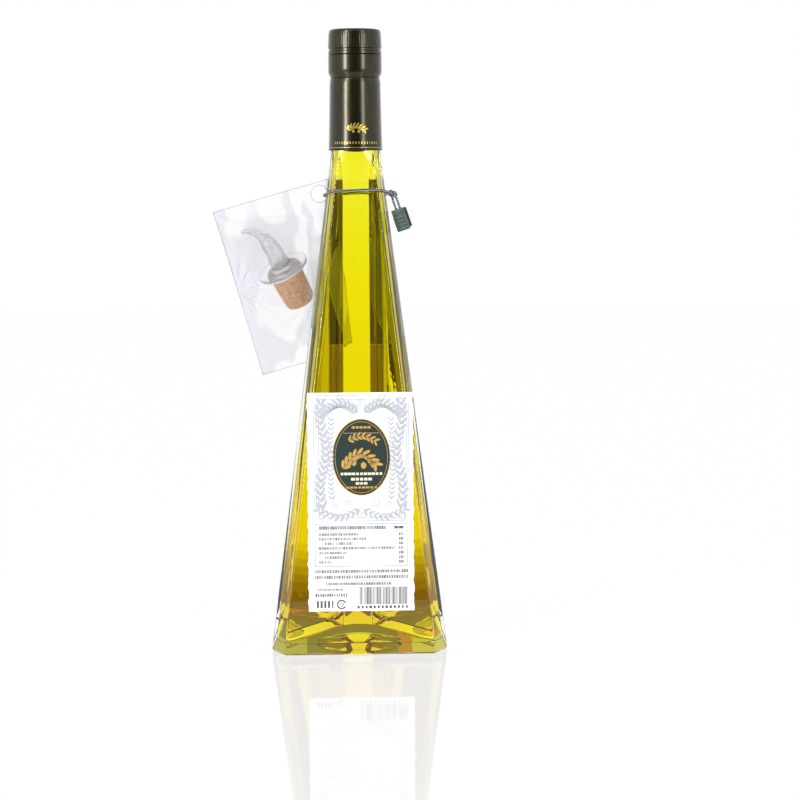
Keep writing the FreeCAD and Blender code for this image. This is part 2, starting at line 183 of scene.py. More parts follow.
def join(name, pieces):
    """Joins pieces into one new piece with the name, and removes the pieces."""
    mesh = bmesh.new()
    materials = []
    for piece in pieces:
        part = piece.data.copy()
        for material in part.materials:
            if material not in materials:
                materials.append(material)
        index = [materials.index(material) for material in part.materials]
        for face in part.polygons:
            face.material_index = index[face.material_index] if index else 0
        mesh.from_mesh(part)
        bpy.data.meshes.remove(part)
    joined = bpy.data.meshes.new(name)
    mesh.to_mesh(joined)
    mesh.free()
    for material in materials:
        joined.materials.append(material)
    for piece in pieces:
        bpy.data.objects.remove(piece)
    whole = bpy.data.objects.new(name, joined)
    bpy.context.collection.objects.link(whole)
    return whole


# Trees run in a scene of their own, which holds only the piece in hand.
bench = bpy.data.scenes.new("bench")


def new_tree(name, inputs):
    """A Geometry Nodes tree with named inputs; gives the tree and its input and output nodes."""
    tree = bpy.data.node_groups.new(name, "GeometryNodeTree")
    tree.interface.new_socket("Geometry", in_out="OUTPUT", socket_type="NodeSocketGeometry")
    tree.interface.new_socket("Geometry", in_out="INPUT", socket_type="NodeSocketGeometry")
    for label, kind in inputs:
        tree.interface.new_socket(label, in_out="INPUT", socket_type=f"NodeSocket{kind}")
    return tree, tree.nodes.new("NodeGroupInput").outputs


def grow(name, tree, inputs, base=None):
    """Runs a tree on a mesh, with its inputs by name, and keeps the plain mesh that results."""
    piece = bpy.data.objects.new(name, base or bpy.data.meshes.new(name))
    bench.collection.objects.link(piece)
    modifier = piece.modifiers.new("shape", "NODES")
    modifier.node_group = tree
    sockets = {s.name: s.identifier for s in tree.interface.items_tree if s.in_out == "INPUT"}
    for label, value in inputs.items():
        modifier[sockets[label]] = value
    bench.view_layers[0].update()
    graph = bench.view_layers[0].depsgraph
    mesh = bpy.data.meshes.new_from_object(piece.evaluated_get(graph), depsgraph=graph)
    piece.modifiers.clear()
    piece.data = mesh
    bench.collection.objects.unlink(piece)
    bpy.context.collection.objects.link(piece)
    return piece


# ---- camera --------------------------------------------------------------------

CAMERA_DISTANCE, CAMERA_HEIGHT, CAMERA_SIDE = 1.1665, 0.268, math.radians(1.28)
CAMERA_LENS, CAMERA_YAW, CAMERA_DIP, CAMERA_ROLL = 92.3, math.radians(2.48), math.radians(6.22), -0.28


def make_camera():
    data = bpy.data.cameras.new("camera")
    data.lens, data.sensor_width = CAMERA_LENS, 36.0
    data.clip_start, data.clip_end = 0.05, 50.0
    camera = bpy.data.objects.new("camera", data)
    bpy.context.collection.objects.link(camera)
    camera.location = (
        -CAMERA_DISTANCE * math.sin(CAMERA_SIDE),
        -CAMERA_DISTANCE * math.cos(CAMERA_SIDE),
        CAMERA_HEIGHT,
    )
    look = Matrix.Rotation(-CAMERA_YAW, 4, "Z") @ Matrix.Rotation(math.pi / 2 - CAMERA_DIP, 4, "X")
    look = look @ Matrix.Rotation(math.radians(CAMERA_ROLL), 4, "Z")
    camera.rotation_euler = look.to_euler()
    bpy.context.scene.camera = camera


# ---- materials -----------------------------------------------------------------

def flint_glass():
    """Clear flint glass, moulded and fire polished: mirror smooth outside, hardly any tint."""
    material, tree = new_material("flint_glass")
    glass = add_node(tree, "ShaderNodeBsdfPrincipled", {
        "Base Color": linear("#FCFFFB"), "Roughness": 0.0, "IOR": 1.5, "Transmission Weight": 1.0,
    })
    finish_material(tree, glass.outputs[0])
    return material


def wetted_glass():
    """The inner wall of the glass, wetted by the oil, so that it bends light and mirrors none."""
    material, tree = new_material("wetted_glass")
    glass = add_node(tree, "ShaderNodeBsdfRefraction", {"Color": linear("#FFFFFF"), "IOR": 1.5})
    finish_material(tree, glass.outputs[0])
    return material


def olive_oil():
    """Filtered olive oil: it swallows blue within a few millimetres and leaves a clear yellow."""
    material, tree = new_material("olive_oil")
    oil = add_node(tree, "ShaderNodeBsdfRefraction", {"Color": linear("#FFFFFF"), "IOR": 1.47})
    tint = add_node(tree, "ShaderNodeVolumeAbsorption", {
        "Color": (0.991, 0.970, 0.0, 1.0), "Density": 220.0,
    })
    finish_material(tree, oil.outputs[0], tint.outputs[0])
    return material


def mottled(tree, dark, light, scale, detail=3.0, stretch=(1, 1, 1), low=0.35, high=0.65):
    """Two colours mixed by noise whose scale is in patches a metre."""
    place = add_node(tree, "ShaderNodeTexCoord").outputs["Object"]
    place = add_node(tree, "ShaderNodeMapping", {"Vector": place, "Scale": stretch}).outputs[0]
    cloud = add_node(tree, "ShaderNodeTexNoise", {"Vector": place, "Scale": scale, "Detail": detail})
    share = add_node(tree, "ShaderNodeMapRange", {
        "Value": cloud.outputs[0], "From Min": low, "From Max": high,
    })
    mix = add_node(tree, "ShaderNodeMix", {
        "Factor": share.outputs[0], 6: linear(dark), 7: linear(light),
    }, data_type="RGBA")
    return mix.outputs[2], cloud.outputs[0]


# The relief of a grain, as a share of the grain's size.
GRAIN_DEPTH = 0.2


def plain_finish(name, dark, light, roughness, grain_mm, relief=0.1, stretch=(1, 1, 1), **more):
    """A finish of two close tones in patches of grain_mm, with the same grain as fine relief."""
    material, tree = new_material(name)
    colour, grain = mottled(tree, dark, light, 1000 / grain_mm, stretch=stretch)
    bump = add_node(tree, "ShaderNodeBump", {
        "Height": grain, "Strength": relief, "Distance": grain_mm * MM * GRAIN_DEPTH,
    })
    inputs = {"Base Color": colour, "Roughness": roughness, "Normal": bump.outputs[0]}
    inputs.update({label.replace("_", " "): value for label, value in more.items()})
    shader = add_node(tree, "ShaderNodeBsdfPrincipled", inputs)
    finish_material(tree, shader.outputs[0])
    return material


GLASS, WETTED, OIL = flint_glass(), wetted_glass(), olive_oil()
# Rolled aluminium under bronze-olive lacquer: dark satin metal with a soft broad shine.
LACQUER = plain_finish("lacquered_aluminium", "#29281B", "#37321F", 0.27, 1.2, 0.04, (1, 1, 0.15),
                       Metallic=0.9, Coat_Weight=0.5, Coat_Roughness=0.12)
GOLD = plain_finish("gold_foil", "#B8963C", "#D9BC62", 0.35, 0.4, 0.1, Metallic=0.8)
# Uncoated felt-marked label stock: soft white, faint fibres of about half a millimetre.
PAPER = plain_finish("label_paper", "#F7F6F3", "#FFFFFF", 0.85, 0.5, 0.15)
GREY_INK = plain_finish("pale_grey_ink", "#B2B5BE", "#C4C7CE", 0.7, 0.4)
DARK_INK = plain_finish("dark_grey_ink", "#4A4B50", "#66676C", 0.7, 0.3)
GREEN_INK = plain_finish("bottle_green_ink", "#10251F", "#18322A", 0.55, 0.6)
GOLD_INK = plain_finish("gold_ink", "#B98F3E", "#D6B262", 0.5, 0.4, Metallic=0.2)
CREAM_INK = plain_finish("cream_ink", "#E9E0C2", "#F5EFDA", 0.6, 0.4)
# Moulded ABS, fine satin: the front shell grey green, the plate behind it nearly black.
SEAL_FRONT = plain_finish("seal_abs_front", "#33473F", "#435A52", 0.42, 0.8, 0.05)
SEAL_BACK = plain_finish("seal_abs_back", "#1B2222", "#2A3333", 0.45, 0.8, 0.05)


# ---- the flask and the oil -------------------------------------------------------

CORNER_STEPS = 4
EDGE_STEPS = (22, 5, 22, 5, 22, 5)
EDGE_GUARD = 0.4
FIRST_NORMAL = -150.0


def tapered(low, high, height):
    return low + (high - low) * height / SHOULDER


def corners_at(height, inset):
    """The six corners of the section, from the front left round to the left."""
    face = tapered(BASE_FACE, SHOULDER_FACE, height) - inset
    front_cut = tapered(BASE_FRONT_CUT, SHOULDER_FRONT_CUT, height) - 2 / SQRT3 * inset
    back_cut = tapered(BASE_BACK_CUT, SHOULDER_BACK_CUT, height) - 2 / SQRT3 * inset
    half_front = SQRT3 * face - front_cut
    half_width = SQRT3 * face - front_cut / 2
    side = SQRT3 / 2 * front_cut - face
    back = 2 * face - SQRT3 / 2 * back_cut
    return [Vector(p) for p in (
        (-half_front, -face), (half_front, -face), (half_width, side),
        (back_cut / 2, back), (-back_cut / 2, back), (-half_width, side),
    )]


def section(height, inset, radius):
    """The section's outline with rounded corners, the same number of points at every height."""
    radius = max(radius, 0.05)
    half_turn = math.radians(30)
    arcs = []
    for k, corner in enumerate(corners_at(height, inset)):
        turn = math.radians(FIRST_NORMAL + 60 * k)
        outwards = Vector((math.cos(turn + half_turn), math.sin(turn + half_turn)))
        centre = corner - outwards * radius / math.cos(half_turn)
        arcs.append([
            centre + radius * Vector((math.cos(a), math.sin(a)))
            for a in (turn + math.radians(60) * i / CORNER_STEPS for i in range(CORNER_STEPS + 1))
        ])
    outline = []
    for k, arc in enumerate(arcs):
        outline += arc
        start, stop = arc[-1], arcs[(k + 1) % 6][0]
        run = (stop - start).length
        guard = min(EDGE_GUARD / max(run, 0.01), 0.2)
        steps = EDGE_STEPS[k]
        shares = [guard] + [i / (steps - 1) for i in range(1, steps - 1)] + [1 - guard]
        outline += [start.lerp(stop, share) for share in shares]
    return outline


def round_ring(radius, like, height):
    """A circle whose points lie in the directions of another ring's points."""
    return [Vector((p[0], p[1], 0)).normalized() * radius + Vector((0, 0, height)) for p in like]


def ring_at(height, inset, corner, neck):
    """The flask's outline at a height: the taper, the shoulder's ruled blend, or the round neck."""
    if height <= SHOULDER:
        return [Vector((p.x, p.y, height)) for p in section(height, inset, corner)]
    top = section(SHOULDER, inset, corner)
    ring = round_ring(neck, top, height)
    share = min(1.0, (height - SHOULDER) / (NECK_START - SHOULDER))
    return [Vector((p.x, p.y, height)).lerp(q, share) for p, q in zip(top, ring)]


# The inner wall's swells: their size across and up, their depth, and the run below the neck
# over which they fade.
WAVE_ACROSS, WAVE_UP, WAVE_DEPTH, WAVE_FADE = 6.0, 42.0, 0.26, 20.0
# How soft the inside's foot is, and the rings' spacing up the wall and in the shoulder.
INNER_HEEL, INNER_STEP, OUTER_STEP, SHOULDER_STEP, HEEL_RINGS = 2.6, 4.0, 6.0, 2.0, 6
PUNT_SHARES = (0.15, 0.35, 0.55, 0.75, 0.9, 1.0)
DOME_SHARES = (0.12, 0.25, 0.4, 0.55, 0.7, 0.82, 0.9, 0.96)


def wavy(ring, reach=1.0):
    """Moves an inner wall's points in and out, as blown glass never has a flat inside."""
    moved = []
    for p in ring:
        out = Vector((p.x, p.y, 0)).normalized()
        swell = noise.noise(Vector((p.x / WAVE_ACROSS, p.y / WAVE_ACROSS, p.z / WAVE_UP)))
        moved.append(p + out * swell * WAVE_DEPTH * reach)
    return moved


def next_height(height, step):
    """The next ring's height up the taper and the shoulder, with a ring on each of their tops."""
    if height >= SHOULDER:
        return min(height + SHOULDER_STEP, NECK_START)
    return min(height + (step if height < SHOULDER - step else SHOULDER_STEP), SHOULDER)


def cavity_rings(grown, top):
    """The inside of the flask from the middle of its floor up, grown into the glass by a little."""
    inset, bore = WALL - grown, BORE_RADIUS + grown
    foot = section(FLOOR, inset, INNER_CORNER)
    rings = []
    for share in DOME_SHARES:
        height = max(FLOOR, DOME_LOW + DOME_RISE * (1 - share * share)) - grown
        rings.append(round_ring(PUNT_RADIUS * share, foot, height))
    for i in range(HEEL_RINGS):
        turn = math.pi / 2 * i / (HEEL_RINGS - 1)
        height = FLOOR - grown + INNER_HEEL * (1 - math.cos(turn))
        extra = INNER_HEEL * (1 - math.sin(turn))
        outline = section(height, inset + extra, INNER_CORNER)
        rings.append([Vector((p.x, p.y, height)) for p in outline])
    height = FLOOR - grown + INNER_HEEL
    while height < NECK_START:
        height = next_height(height, INNER_STEP)
        ring = ring_at(height, inset, INNER_CORNER + grown, bore)
        rings.append(wavy(ring, min(1.0, (NECK_START - height) / WAVE_FADE)))
    rings.append(ring_at((NECK_START + top) / 2, inset, INNER_CORNER, bore))
    rings.append(ring_at(top, inset, INNER_CORNER, bore))
    return rings, Vector((0, 0, DOME_LOW + DOME_RISE - grown))


def make_flask():
    base = section(0, HEEL, OUTER_CORNER)
    rings = [round_ring(PUNT_RADIUS * s, base, PUNT_RISE * (1 - s * s)) for s in PUNT_SHARES]
    for i in range(HEEL_RINGS):
        turn = math.pi / 2 * i / (HEEL_RINGS - 1)
        height = HEEL * (1 - math.cos(turn))
        outline = section(height, HEEL * (1 - math.sin(turn)), OUTER_CORNER)
        rings.append([Vector((p.x, p.y, height)) for p in outline])
    height = HEEL
    while height < NECK_START:
        height = next_height(height, OUTER_STEP)
        rings.append(ring_at(height, 0, OUTER_CORNER, NECK_RADIUS))
    rings.append(ring_at(NECK_TOP - 1, 0, OUTER_CORNER, NECK_RADIUS))
    rings.append(ring_at(NECK_TOP, 0, OUTER_CORNER, NECK_RADIUS - 0.8))
    outside = len(rings)
    inner, floor_tip = cavity_rings(0.0, NECK_TOP)
    rings += inner[::-1]
    vertices, faces = skin(rings, Vector((0, 0, PUNT_RISE)), floor_tip)
    flask = new_piece("flask", vertices, faces, GLASS)
    flask.data.materials.append(WETTED)
    count = len(base)
    wetted_from = outside * count
    for face in flask.data.polygons:
        if all(v >= wetted_from for v in face.vertices):
            face.material_index = 1
    flask.visible_shadow = False
    return ride(flask, "clear_glass", "bottle_glass")


OIL_INTO_WALL, MENISCUS = 0.15, 0.7
# The surface's rings inwards from the wall: share of the bore, and drop below the wetted edge.
MENISCUS_RINGS = ((0.97, 0.35), (0.9, 0.6), (0.75, MENISCUS))


def make_oil():
    rings, floor_tip = cavity_rings(OIL_INTO_WALL, OIL_LEVEL)
    for share, drop in MENISCUS_RINGS:
        rings.append(round_ring(BORE_RADIUS * share, rings[-1], OIL_LEVEL - drop))
    vertices, faces = skin(rings, floor_tip, Vector((0, 0, OIL_LEVEL - MENISCUS)))
    oil = new_piece("oil_fill", vertices, faces, OIL)
    oil.visible_shadow = False
    return ride(oil, "oil", "olive_oil")


# ---- floor, light ------------------------------------------------------------------

def white_for_view(tree, plain, white):
    """The plain shader for diffuse light, white where the camera, a mirror or glass looks at it."""
    path = add_node(tree, "ShaderNodeLightPath")
    seen = add_node(tree, "ShaderNodeMath", {
        0: path.outputs["Is Camera Ray"], 1: path.outputs["Is Glossy Ray"],
    }, operation="MAXIMUM")
    seen = add_node(tree, "ShaderNodeMath", {
        0: seen.outputs[0], 1: path.outputs["Is Transmission Ray"],
    }, operation="MAXIMUM")
    return add_node(tree, "ShaderNodeMixShader", {0: seen.outputs[0], 1: plain, 2: white}).outputs[0]


def make_world():
    world = bpy.data.worlds.new("studio")
    bpy.context.scene.world = world
    world.use_nodes = True
    tree = world.node_tree
    tree.nodes.clear()
    soft = add_node(tree, "ShaderNodeBackground", {"Color": linear("#FBFCFF"), "Strength": 0.92})
    white = add_node(tree, "ShaderNodeBackground", {"Color": (1, 1, 1, 1), "Strength": 1.0})
    surface = white_for_view(tree, soft.outputs[0], white.outputs[0])
    add_node(tree, "ShaderNodeOutputWorld", {"Surface": surface})


def stage_sheet(name, corners, material):
    sheet = new_piece(name, corners, [(0, 1, 2, 3)], material, smooth=False)
    return sheet


# How far the floor reaches, and how much of it is its own light and how much its sheen.
FLOOR_REACH, FLOOR_GLOW, FLOOR_SHEEN = 3000.0, 0.93, 0.2


def make_floor():
    material, tree = new_material("white_acrylic_floor")
    diffuse = add_node(tree, "ShaderNodeBsdfDiffuse", {"Color": (0.95, 0.95, 0.95, 1)})
    glow = add_node(tree, "ShaderNodeEmission", {"Color": (1, 1, 1, 1), "Strength": 1.0})
    lit = add_node(tree, "ShaderNodeMixShader", {0: FLOOR_GLOW, 1: diffuse.outputs[0], 2: glow.outputs[0]})
    gloss = add_node(tree, "ShaderNodeBsdfGlossy", {"Color": (1, 1, 1, 1), "Roughness": 0.06})
    shown = add_node(tree, "ShaderNodeMixShader", {0: FLOOR_SHEEN, 1: lit.outputs[0], 2: gloss.outputs[0]})
    finish_material(tree, white_for_view(tree, diffuse.outputs[0], shown.outputs[0]))
    corners = [(-1, -1), (1, -1), (1, 1), (-1, 1)]
    stage_sheet("floor", [(x * FLOOR_REACH, y * FLOOR_REACH, 0) for x, y in corners], material)


def make_painted_light_card(name, place, along, up, strips):
    """A glowing card seen only through the glass, painted light and shade for what the glass shows: upright
    strips side by side, each from one distance along the card to the next, in its own grey."""
    for number, (start, stop, grey) in enumerate(strips):
        material, tree = new_material(f"{name}_grey_{number}")
        glow = add_node(tree, "ShaderNodeEmission", {"Color": linear(grey), "Strength": 1.0})
        finish_material(tree, glow.outputs[0])
        left, right = place + along * start, place + along * stop
        strip = stage_sheet(f"{name}_{number}", [left, right, right + up, left + up], material)
        strip.visible_camera = strip.visible_diffuse = strip.visible_shadow = strip.visible_glossy = False


CARD_DISTANCE, CARD_HEIGHT, CARD_TURN = 330.0, 400, math.radians(60)
FRONT_CARD_START, FRONT_CARD_DEPTH, FOOT_CARD_START, FOOT_CARD_DEPTH = -140, -600, -30, 78
# Painted light and shade that the glass shows: start, stop and grey of each strip.
FRONT_PAINTED_STRIPS = [
    (-300, -19, "#5A5650"), (-19, -14, "#9A9480"), (-14, -10, "#2E2A26"), (-10, -4, "#6E6650"),
    (-4, 4, "#8A8064"), (4, 9, "#4A443A"), (9, 13, "#B8B090"), (13, 17, "#3A342C"), (17, 300, "#5A5650"),
]
SIDE_PAINTED_STRIPS = [
    (-300, 6, "#8C8A74"), (6, 10, "#4A4432"), (10, 15, "#FFFFFF"), (15, 17, "#D8D4A8"), (17, 20, "#6E6A44"),
    (20, 23, "#C8C078"), (23, 26, "#A8A890"), (26, 300, "#D2CA9E"),
]
# Low glowing sheets behind the flask, painted shade from dark to pale: start, depth and grey of each.
LOW_CARD_HALF = 80
LOW_PAINTED_STEPS = ((42, 26, "#8C7848"), (68, 14, "#9A8858"), (82, 12, "#AC9C6C"), (94, 12, "#BCB080"),
             (106, 12, "#CEC698"), (118, 12, "#E0DCB8"), (130, 14, "#F0EED8"))
# Painted light and shade under the foot, seen through the oil: start, stop and colour of each strip.
FOOT_PAINTED_STRIPS = [(-48, -30, "#B4AC34"), (-30, 22, "#8C8228"), (22, 30, "#C08A1C"), (30, 48, "#C8C03C")]


def make_painted_light_cards():
    """The glowing cards of painted light and shade that the glass is seen against: one lying before it, two
    standing behind it with steps of low ones between, and one lying under its foot."""
    right, up = Vector((1, 0, 0)), Vector((0, 0, 1))
    deep = Vector((0, FRONT_CARD_DEPTH, 0))
    make_painted_light_card("front_card", Vector((0, FRONT_CARD_START, 1)), right, deep, FRONT_PAINTED_STRIPS)
    for side, mirror in (("left", 1), ("right", -1)):
        away = Vector((-math.sin(CARD_TURN) * mirror, math.cos(CARD_TURN), 0)) * CARD_DISTANCE
        along = Vector((math.cos(CARD_TURN) * mirror, math.sin(CARD_TURN), 0))
        make_painted_light_card(f"{side}_card", away + up * 5, along, up * CARD_HEIGHT, SIDE_PAINTED_STRIPS)
        out = away / CARD_DISTANCE
        for start, deep, grey in LOW_PAINTED_STEPS:
            strips = [(-LOW_CARD_HALF, LOW_CARD_HALF, grey)]
            make_painted_light_card(f"{side}_low_card_{start}", out * start + up * 0.4, along, out * deep, strips)
    deep = Vector((0, FOOT_CARD_DEPTH, 0))
    make_painted_light_card("foot_card", Vector((0, FOOT_CARD_START, 0.3)), right, deep, FOOT_PAINTED_STRIPS)


PAINTED_REFLECTION_HALF, PAINTED_REFLECTION_HEIGHT, PAINTED_REFLECTION_DISTANCE = 330, 800, 700


def make_painted_dark_reflection():
    """A dim glowing sheet before the bottle, seen only in reflections: a painted reflection that stands in
    for the unlit side of a room.
    """
    material, tree = new_material("painted_dark_reflection")
    glow = add_node(tree, "ShaderNodeEmission", {"Color": linear("#66634E"), "Strength": 1.0})
    finish_material(tree, glow.outputs[0])
    corners = [(-1, 1), (1, 1), (1, PAINTED_REFLECTION_HEIGHT), (-1, PAINTED_REFLECTION_HEIGHT)]
    corners = [(side * PAINTED_REFLECTION_HALF, -PAINTED_REFLECTION_DISTANCE, z) for side, z in corners]
    room = stage_sheet("painted_dark_reflection", corners, material)
    room.visible_camera = room.visible_diffuse = room.visible_shadow = room.visible_transmission = False


def make_lamp(name, place, aim, width, height, power, colour="#FFFFFF"):
    data = bpy.data.lights.new(name, "AREA")
    data.shape, data.size, data.size_y = "RECTANGLE", width, height
    data.energy, data.color = power, linear(colour)[:3]
    lamp = bpy.data.objects.new(name, data)
    bpy.context.collection.objects.link(lamp)
    lamp.location = place
    lamp.rotation_euler = (Vector(aim) - Vector(place)).to_track_quat("-Z", "Y").to_euler()
    return lamp


# Narrow lamps for the shine of metal and glass: name, place in metres, width and watts.
STRIP_LAMPS = (("strip_left", (-0.98, -0.92, 0.42), 0.24, 3.4), ("strip_right", (0.72, -1.1, 0.42), 0.3, 1.6))


def make_lamps():
    middle = (0, 0, 0.2)
    make_lamp("softbox_left", (-0.9, -1.0, 0.7), middle, 0.22, 1.0, 9)
    make_lamp("softbox_right", (0.75, -1.1, 0.7), middle, 0.25, 1.0, 3)
    for name, place, width, power in STRIP_LAMPS:
        strip = make_lamp(name, place, (0, 0, 0.3), width, 0.5, power)
        strip.visible_diffuse = strip.visible_transmission = False


# ---- the cap and its sleeve ----------------------------------------------------

CAP_RADIUS, CAP_BEAD, CAP_GROOVE, CAP_TOP = 15.0, 15.1, 14.65, 14.4
CAP_SHOULDER, CAP_BEAD_DROP, CAP_GROOVE_DROP, CAP_LINE_DROP = 1.6, 10.6, 12.3, 14.1
CAP_SKIRT_DROP, CAP_WALL, SPLIT_GAP = 24.6, 0.4, 0.3
SPLIT_RADIUS, SLEEVE_FOOT_RADIUS = 13.8, 15.2
# Six segments for each crease.
CREASE_COUNT, CREASE_DEPTH = 72, 0.05
CAP_SEGMENTS, SLEEVE_SEGMENTS = 6 * CREASE_COUNT, 180
CAP_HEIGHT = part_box("screw_cap")[1].z / MM


def crease(turn, height):
    """The fine upright creases rolled into the cap's top band."""
    if not CAP_HEIGHT - CAP_BEAD_DROP + 0.8 < height < CAP_HEIGHT - CAP_SHOULDER:
        return 0.0
    return -CREASE_DEPTH * max(0.0, math.cos(turn * CREASE_COUNT)) ** 6


def make_cap():
    low, high = (corner.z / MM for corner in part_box("screw_cap"))
    drops = [
        (CAP_TOP - 1.6, 0.0), (CAP_TOP - 0.5, 0.25), (CAP_TOP, 0.9), (CAP_TOP + 0.1, CAP_SHOULDER),
        (CAP_TOP + 0.25, CAP_SHOULDER + 0.5), (CAP_BEAD - 0.1, CAP_BEAD_DROP - 1.2),
        (CAP_BEAD, CAP_BEAD_DROP - 0.5), (CAP_BEAD, CAP_BEAD_DROP), (CAP_GROOVE, CAP_BEAD_DROP + 0.35),
        (CAP_GROOVE, CAP_GROOVE_DROP - 0.3), (CAP_RADIUS, CAP_GROOVE_DROP),
        (CAP_RADIUS, CAP_LINE_DROP - 0.3), (CAP_GROOVE, CAP_LINE_DROP), (CAP_RADIUS, CAP_LINE_DROP + 0.35),
        (CAP_RADIUS, CAP_SKIRT_DROP - 0.6), (CAP_RADIUS - 0.25, CAP_SKIRT_DROP),
    ]
    profile = [(0.0, high), (9.0, high)] + [(radius, high - drop) for radius, drop in drops]
    profile += [(SPLIT_RADIUS, low), (SPLIT_RADIUS - CAP_WALL, low)]
    profile += [(CAP_TOP - CAP_WALL, high - CAP_SHOULDER - 0.6), (0.0, high - CAP_WALL)]
    detailed = []
    for (r, z), (s, y) in zip(profile, profile[1:]):
        detailed.append((r, z))
        if abs(y - z) > 2:
            detailed += [(r + (s - r) * i / 4, z + (y - z) * i / 4) for i in (1, 2, 3)]
    detailed.append(profile[-1])
    cap = lathe("screw_cap_shell", detailed[::-1], LACQUER, CAP_SEGMENTS, crease)
    soften(cap)
    ride(cap, "lacquered_aluminium", "screw_cap")


CRISP_ANGLE = 40


def soften(piece, angle=35):
    """Smooth shading with crisp edges where the surface turns sharply."""
    mesh = piece.data
    mesh.polygons.foreach_set("use_smooth", [True] * len(mesh.polygons))
    mesh.set_sharp_from_angle(angle=math.radians(angle))


SLEEVE_SHARES = (0.0, 0.1, 0.2, 0.35, 0.5, 0.65, 0.8, 1.0)
SLEEVE_LOW, SLEEVE_HIGH = (corner.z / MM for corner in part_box("capsule_sleeve"))
SLEEVE_RISE, SLEEVE_TAPER = SLEEVE_HIGH - SPLIT_GAP - SLEEVE_LOW - 3.0, 0.9


def sleeve_radius(share):
    """The sleeve's radius for a share of its rise: straight between its rings."""
    for start, stop in zip(SLEEVE_SHARES, SLEEVE_SHARES[1:]):
        if share <= stop:
            low, high = (SLEEVE_FOOT_RADIUS - SLEEVE_TAPER * s ** 0.7 for s in (start, stop))
            return low + (high - low) * max(0.0, share - start) / (stop - start)
    return SLEEVE_FOOT_RADIUS - SLEEVE_TAPER


def make_sleeve():
    low, high, hem = SLEEVE_LOW, SLEEVE_HIGH, SLEEVE_LOW + 0.3
    profile = [(NECK_RADIUS + 0.3, low), (SLEEVE_FOOT_RADIUS - 0.15, low), (SLEEVE_FOOT_RADIUS, hem)]
    profile += [(sleeve_radius(share), hem + SLEEVE_RISE * share) for share in SLEEVE_SHARES[1:]]
    profile += [(SPLIT_RADIUS + 0.25, high - 0.6), (SPLIT_RADIUS, high), (SPLIT_RADIUS - CAP_WALL, high)]
    rings, count = [], SLEEVE_SEGMENTS
    turns = [2 * math.pi * j / count for j in range(count)]
    for radius, height in profile:
        rings.append([(radius * math.cos(turn), radius * math.sin(turn), height) for turn in turns])
    vertices, faces = skin(rings)
    last = (len(rings) - 1) * count
    faces += [(last + j, last + (j + 1) % count, (j + 1) % count, j) for j in range(count)]
    sleeve = new_piece("capsule_sleeve_shell", vertices, faces, LACQUER)
    soften(sleeve)
    ride(sleeve, "lacquered_aluminium", "capsule_sleeve")


# ---- printed shapes ------------------------------------------------------------

def leaf_tree():
    """Leaves in pairs along a stem: a line in, a sprig of flat printed leaves out."""
    tree, given = new_tree("sprig", [
        ("Leaves", "Int"), ("Leaf Length", "Float"), ("Leaf Width", "Float"), ("Spread", "Float"),
        ("Stem Width", "Float"), ("Thickness", "Float"), ("Ink", "Material"),
    ])
    line = add_node(tree, "GeometryNodeMeshToCurve", {0: given["Geometry"]})
    even = add_node(tree, "GeometryNodeResampleCurve", {"Curve": line.outputs[0], "Count": given["Leaves"]})
    blade = add_node(tree, "GeometryNodeMeshCircle", {"Vertices": 10, "Radius": 0.5}, fill_type="NGON")
    size_of = add_node(tree, "ShaderNodeCombineXYZ", {
        "X": given["Leaf Length"], "Y": given["Leaf Width"], "Z": 1.0,
    })
    half = add_node(tree, "ShaderNodeMath", {0: given["Leaf Length"], 1: 0.5}, operation="MULTIPLY")
    out = add_node(tree, "ShaderNodeCombineXYZ", {"X": half.outputs[0]})
    leaf = add_node(tree, "GeometryNodeTransform", {
        "Geometry": blade.outputs[0], "Translation": out.outputs[0], "Scale": size_of.outputs[0],
    })
    tangent = add_node(tree, "GeometryNodeInputTangent")
    aim = add_node(tree, "FunctionNodeAlignEulerToVector", {"Vector": tangent.outputs[0]},
                   axis="X", pivot_axis="Z")
    leaves = []
    for side in (1, -1):
        swing = add_node(tree, "ShaderNodeMath", {0: given["Spread"], 1: float(side)}, operation="MULTIPLY")
        euler = add_node(tree, "ShaderNodeCombineXYZ", {"Z": swing.outputs[0]})
        turn = add_node(tree, "FunctionNodeRotateEuler", {0: aim.outputs[0], 1: euler.outputs[0]},
                        rotation_type="EULER")
        placed = add_node(tree, "GeometryNodeInstanceOnPoints", {
            "Points": even.outputs[0], "Instance": leaf.outputs[0], "Rotation": turn.outputs[0],
        })
        leaves.append(placed.outputs[0])
    across = add_node(tree, "GeometryNodeCurvePrimitiveLine", {"Start": (0, 0, 0)})
    thin = add_node(tree, "ShaderNodeCombineXYZ", {"X": given["Stem Width"]})
    tree.links.new(thin.outputs[0], across.inputs["End"])
    stem = add_node(tree, "GeometryNodeCurveToMesh", {
        "Curve": line.outputs[0], "Profile Curve": across.outputs[0],
    })
    together = tree.nodes.new("GeometryNodeJoinGeometry")
    for part in leaves + [stem.outputs[0]]:
        tree.links.new(part, together.inputs[0])
    real = add_node(tree, "GeometryNodeRealizeInstances", {0: together.outputs[0]})
    thick = add_node(tree, "GeometryNodeExtrudeMesh", {
        "Mesh": real.outputs[0], "Offset": (0, 0, 1), "Offset Scale": given["Thickness"], "Individual": False,
    })
    inked = add_node(tree, "GeometryNodeSetMaterial", {0: thick.outputs[0], "Material": given["Ink"]})
    add_node(tree, "NodeGroupOutput", {0: inked.outputs[0]})
    return tree


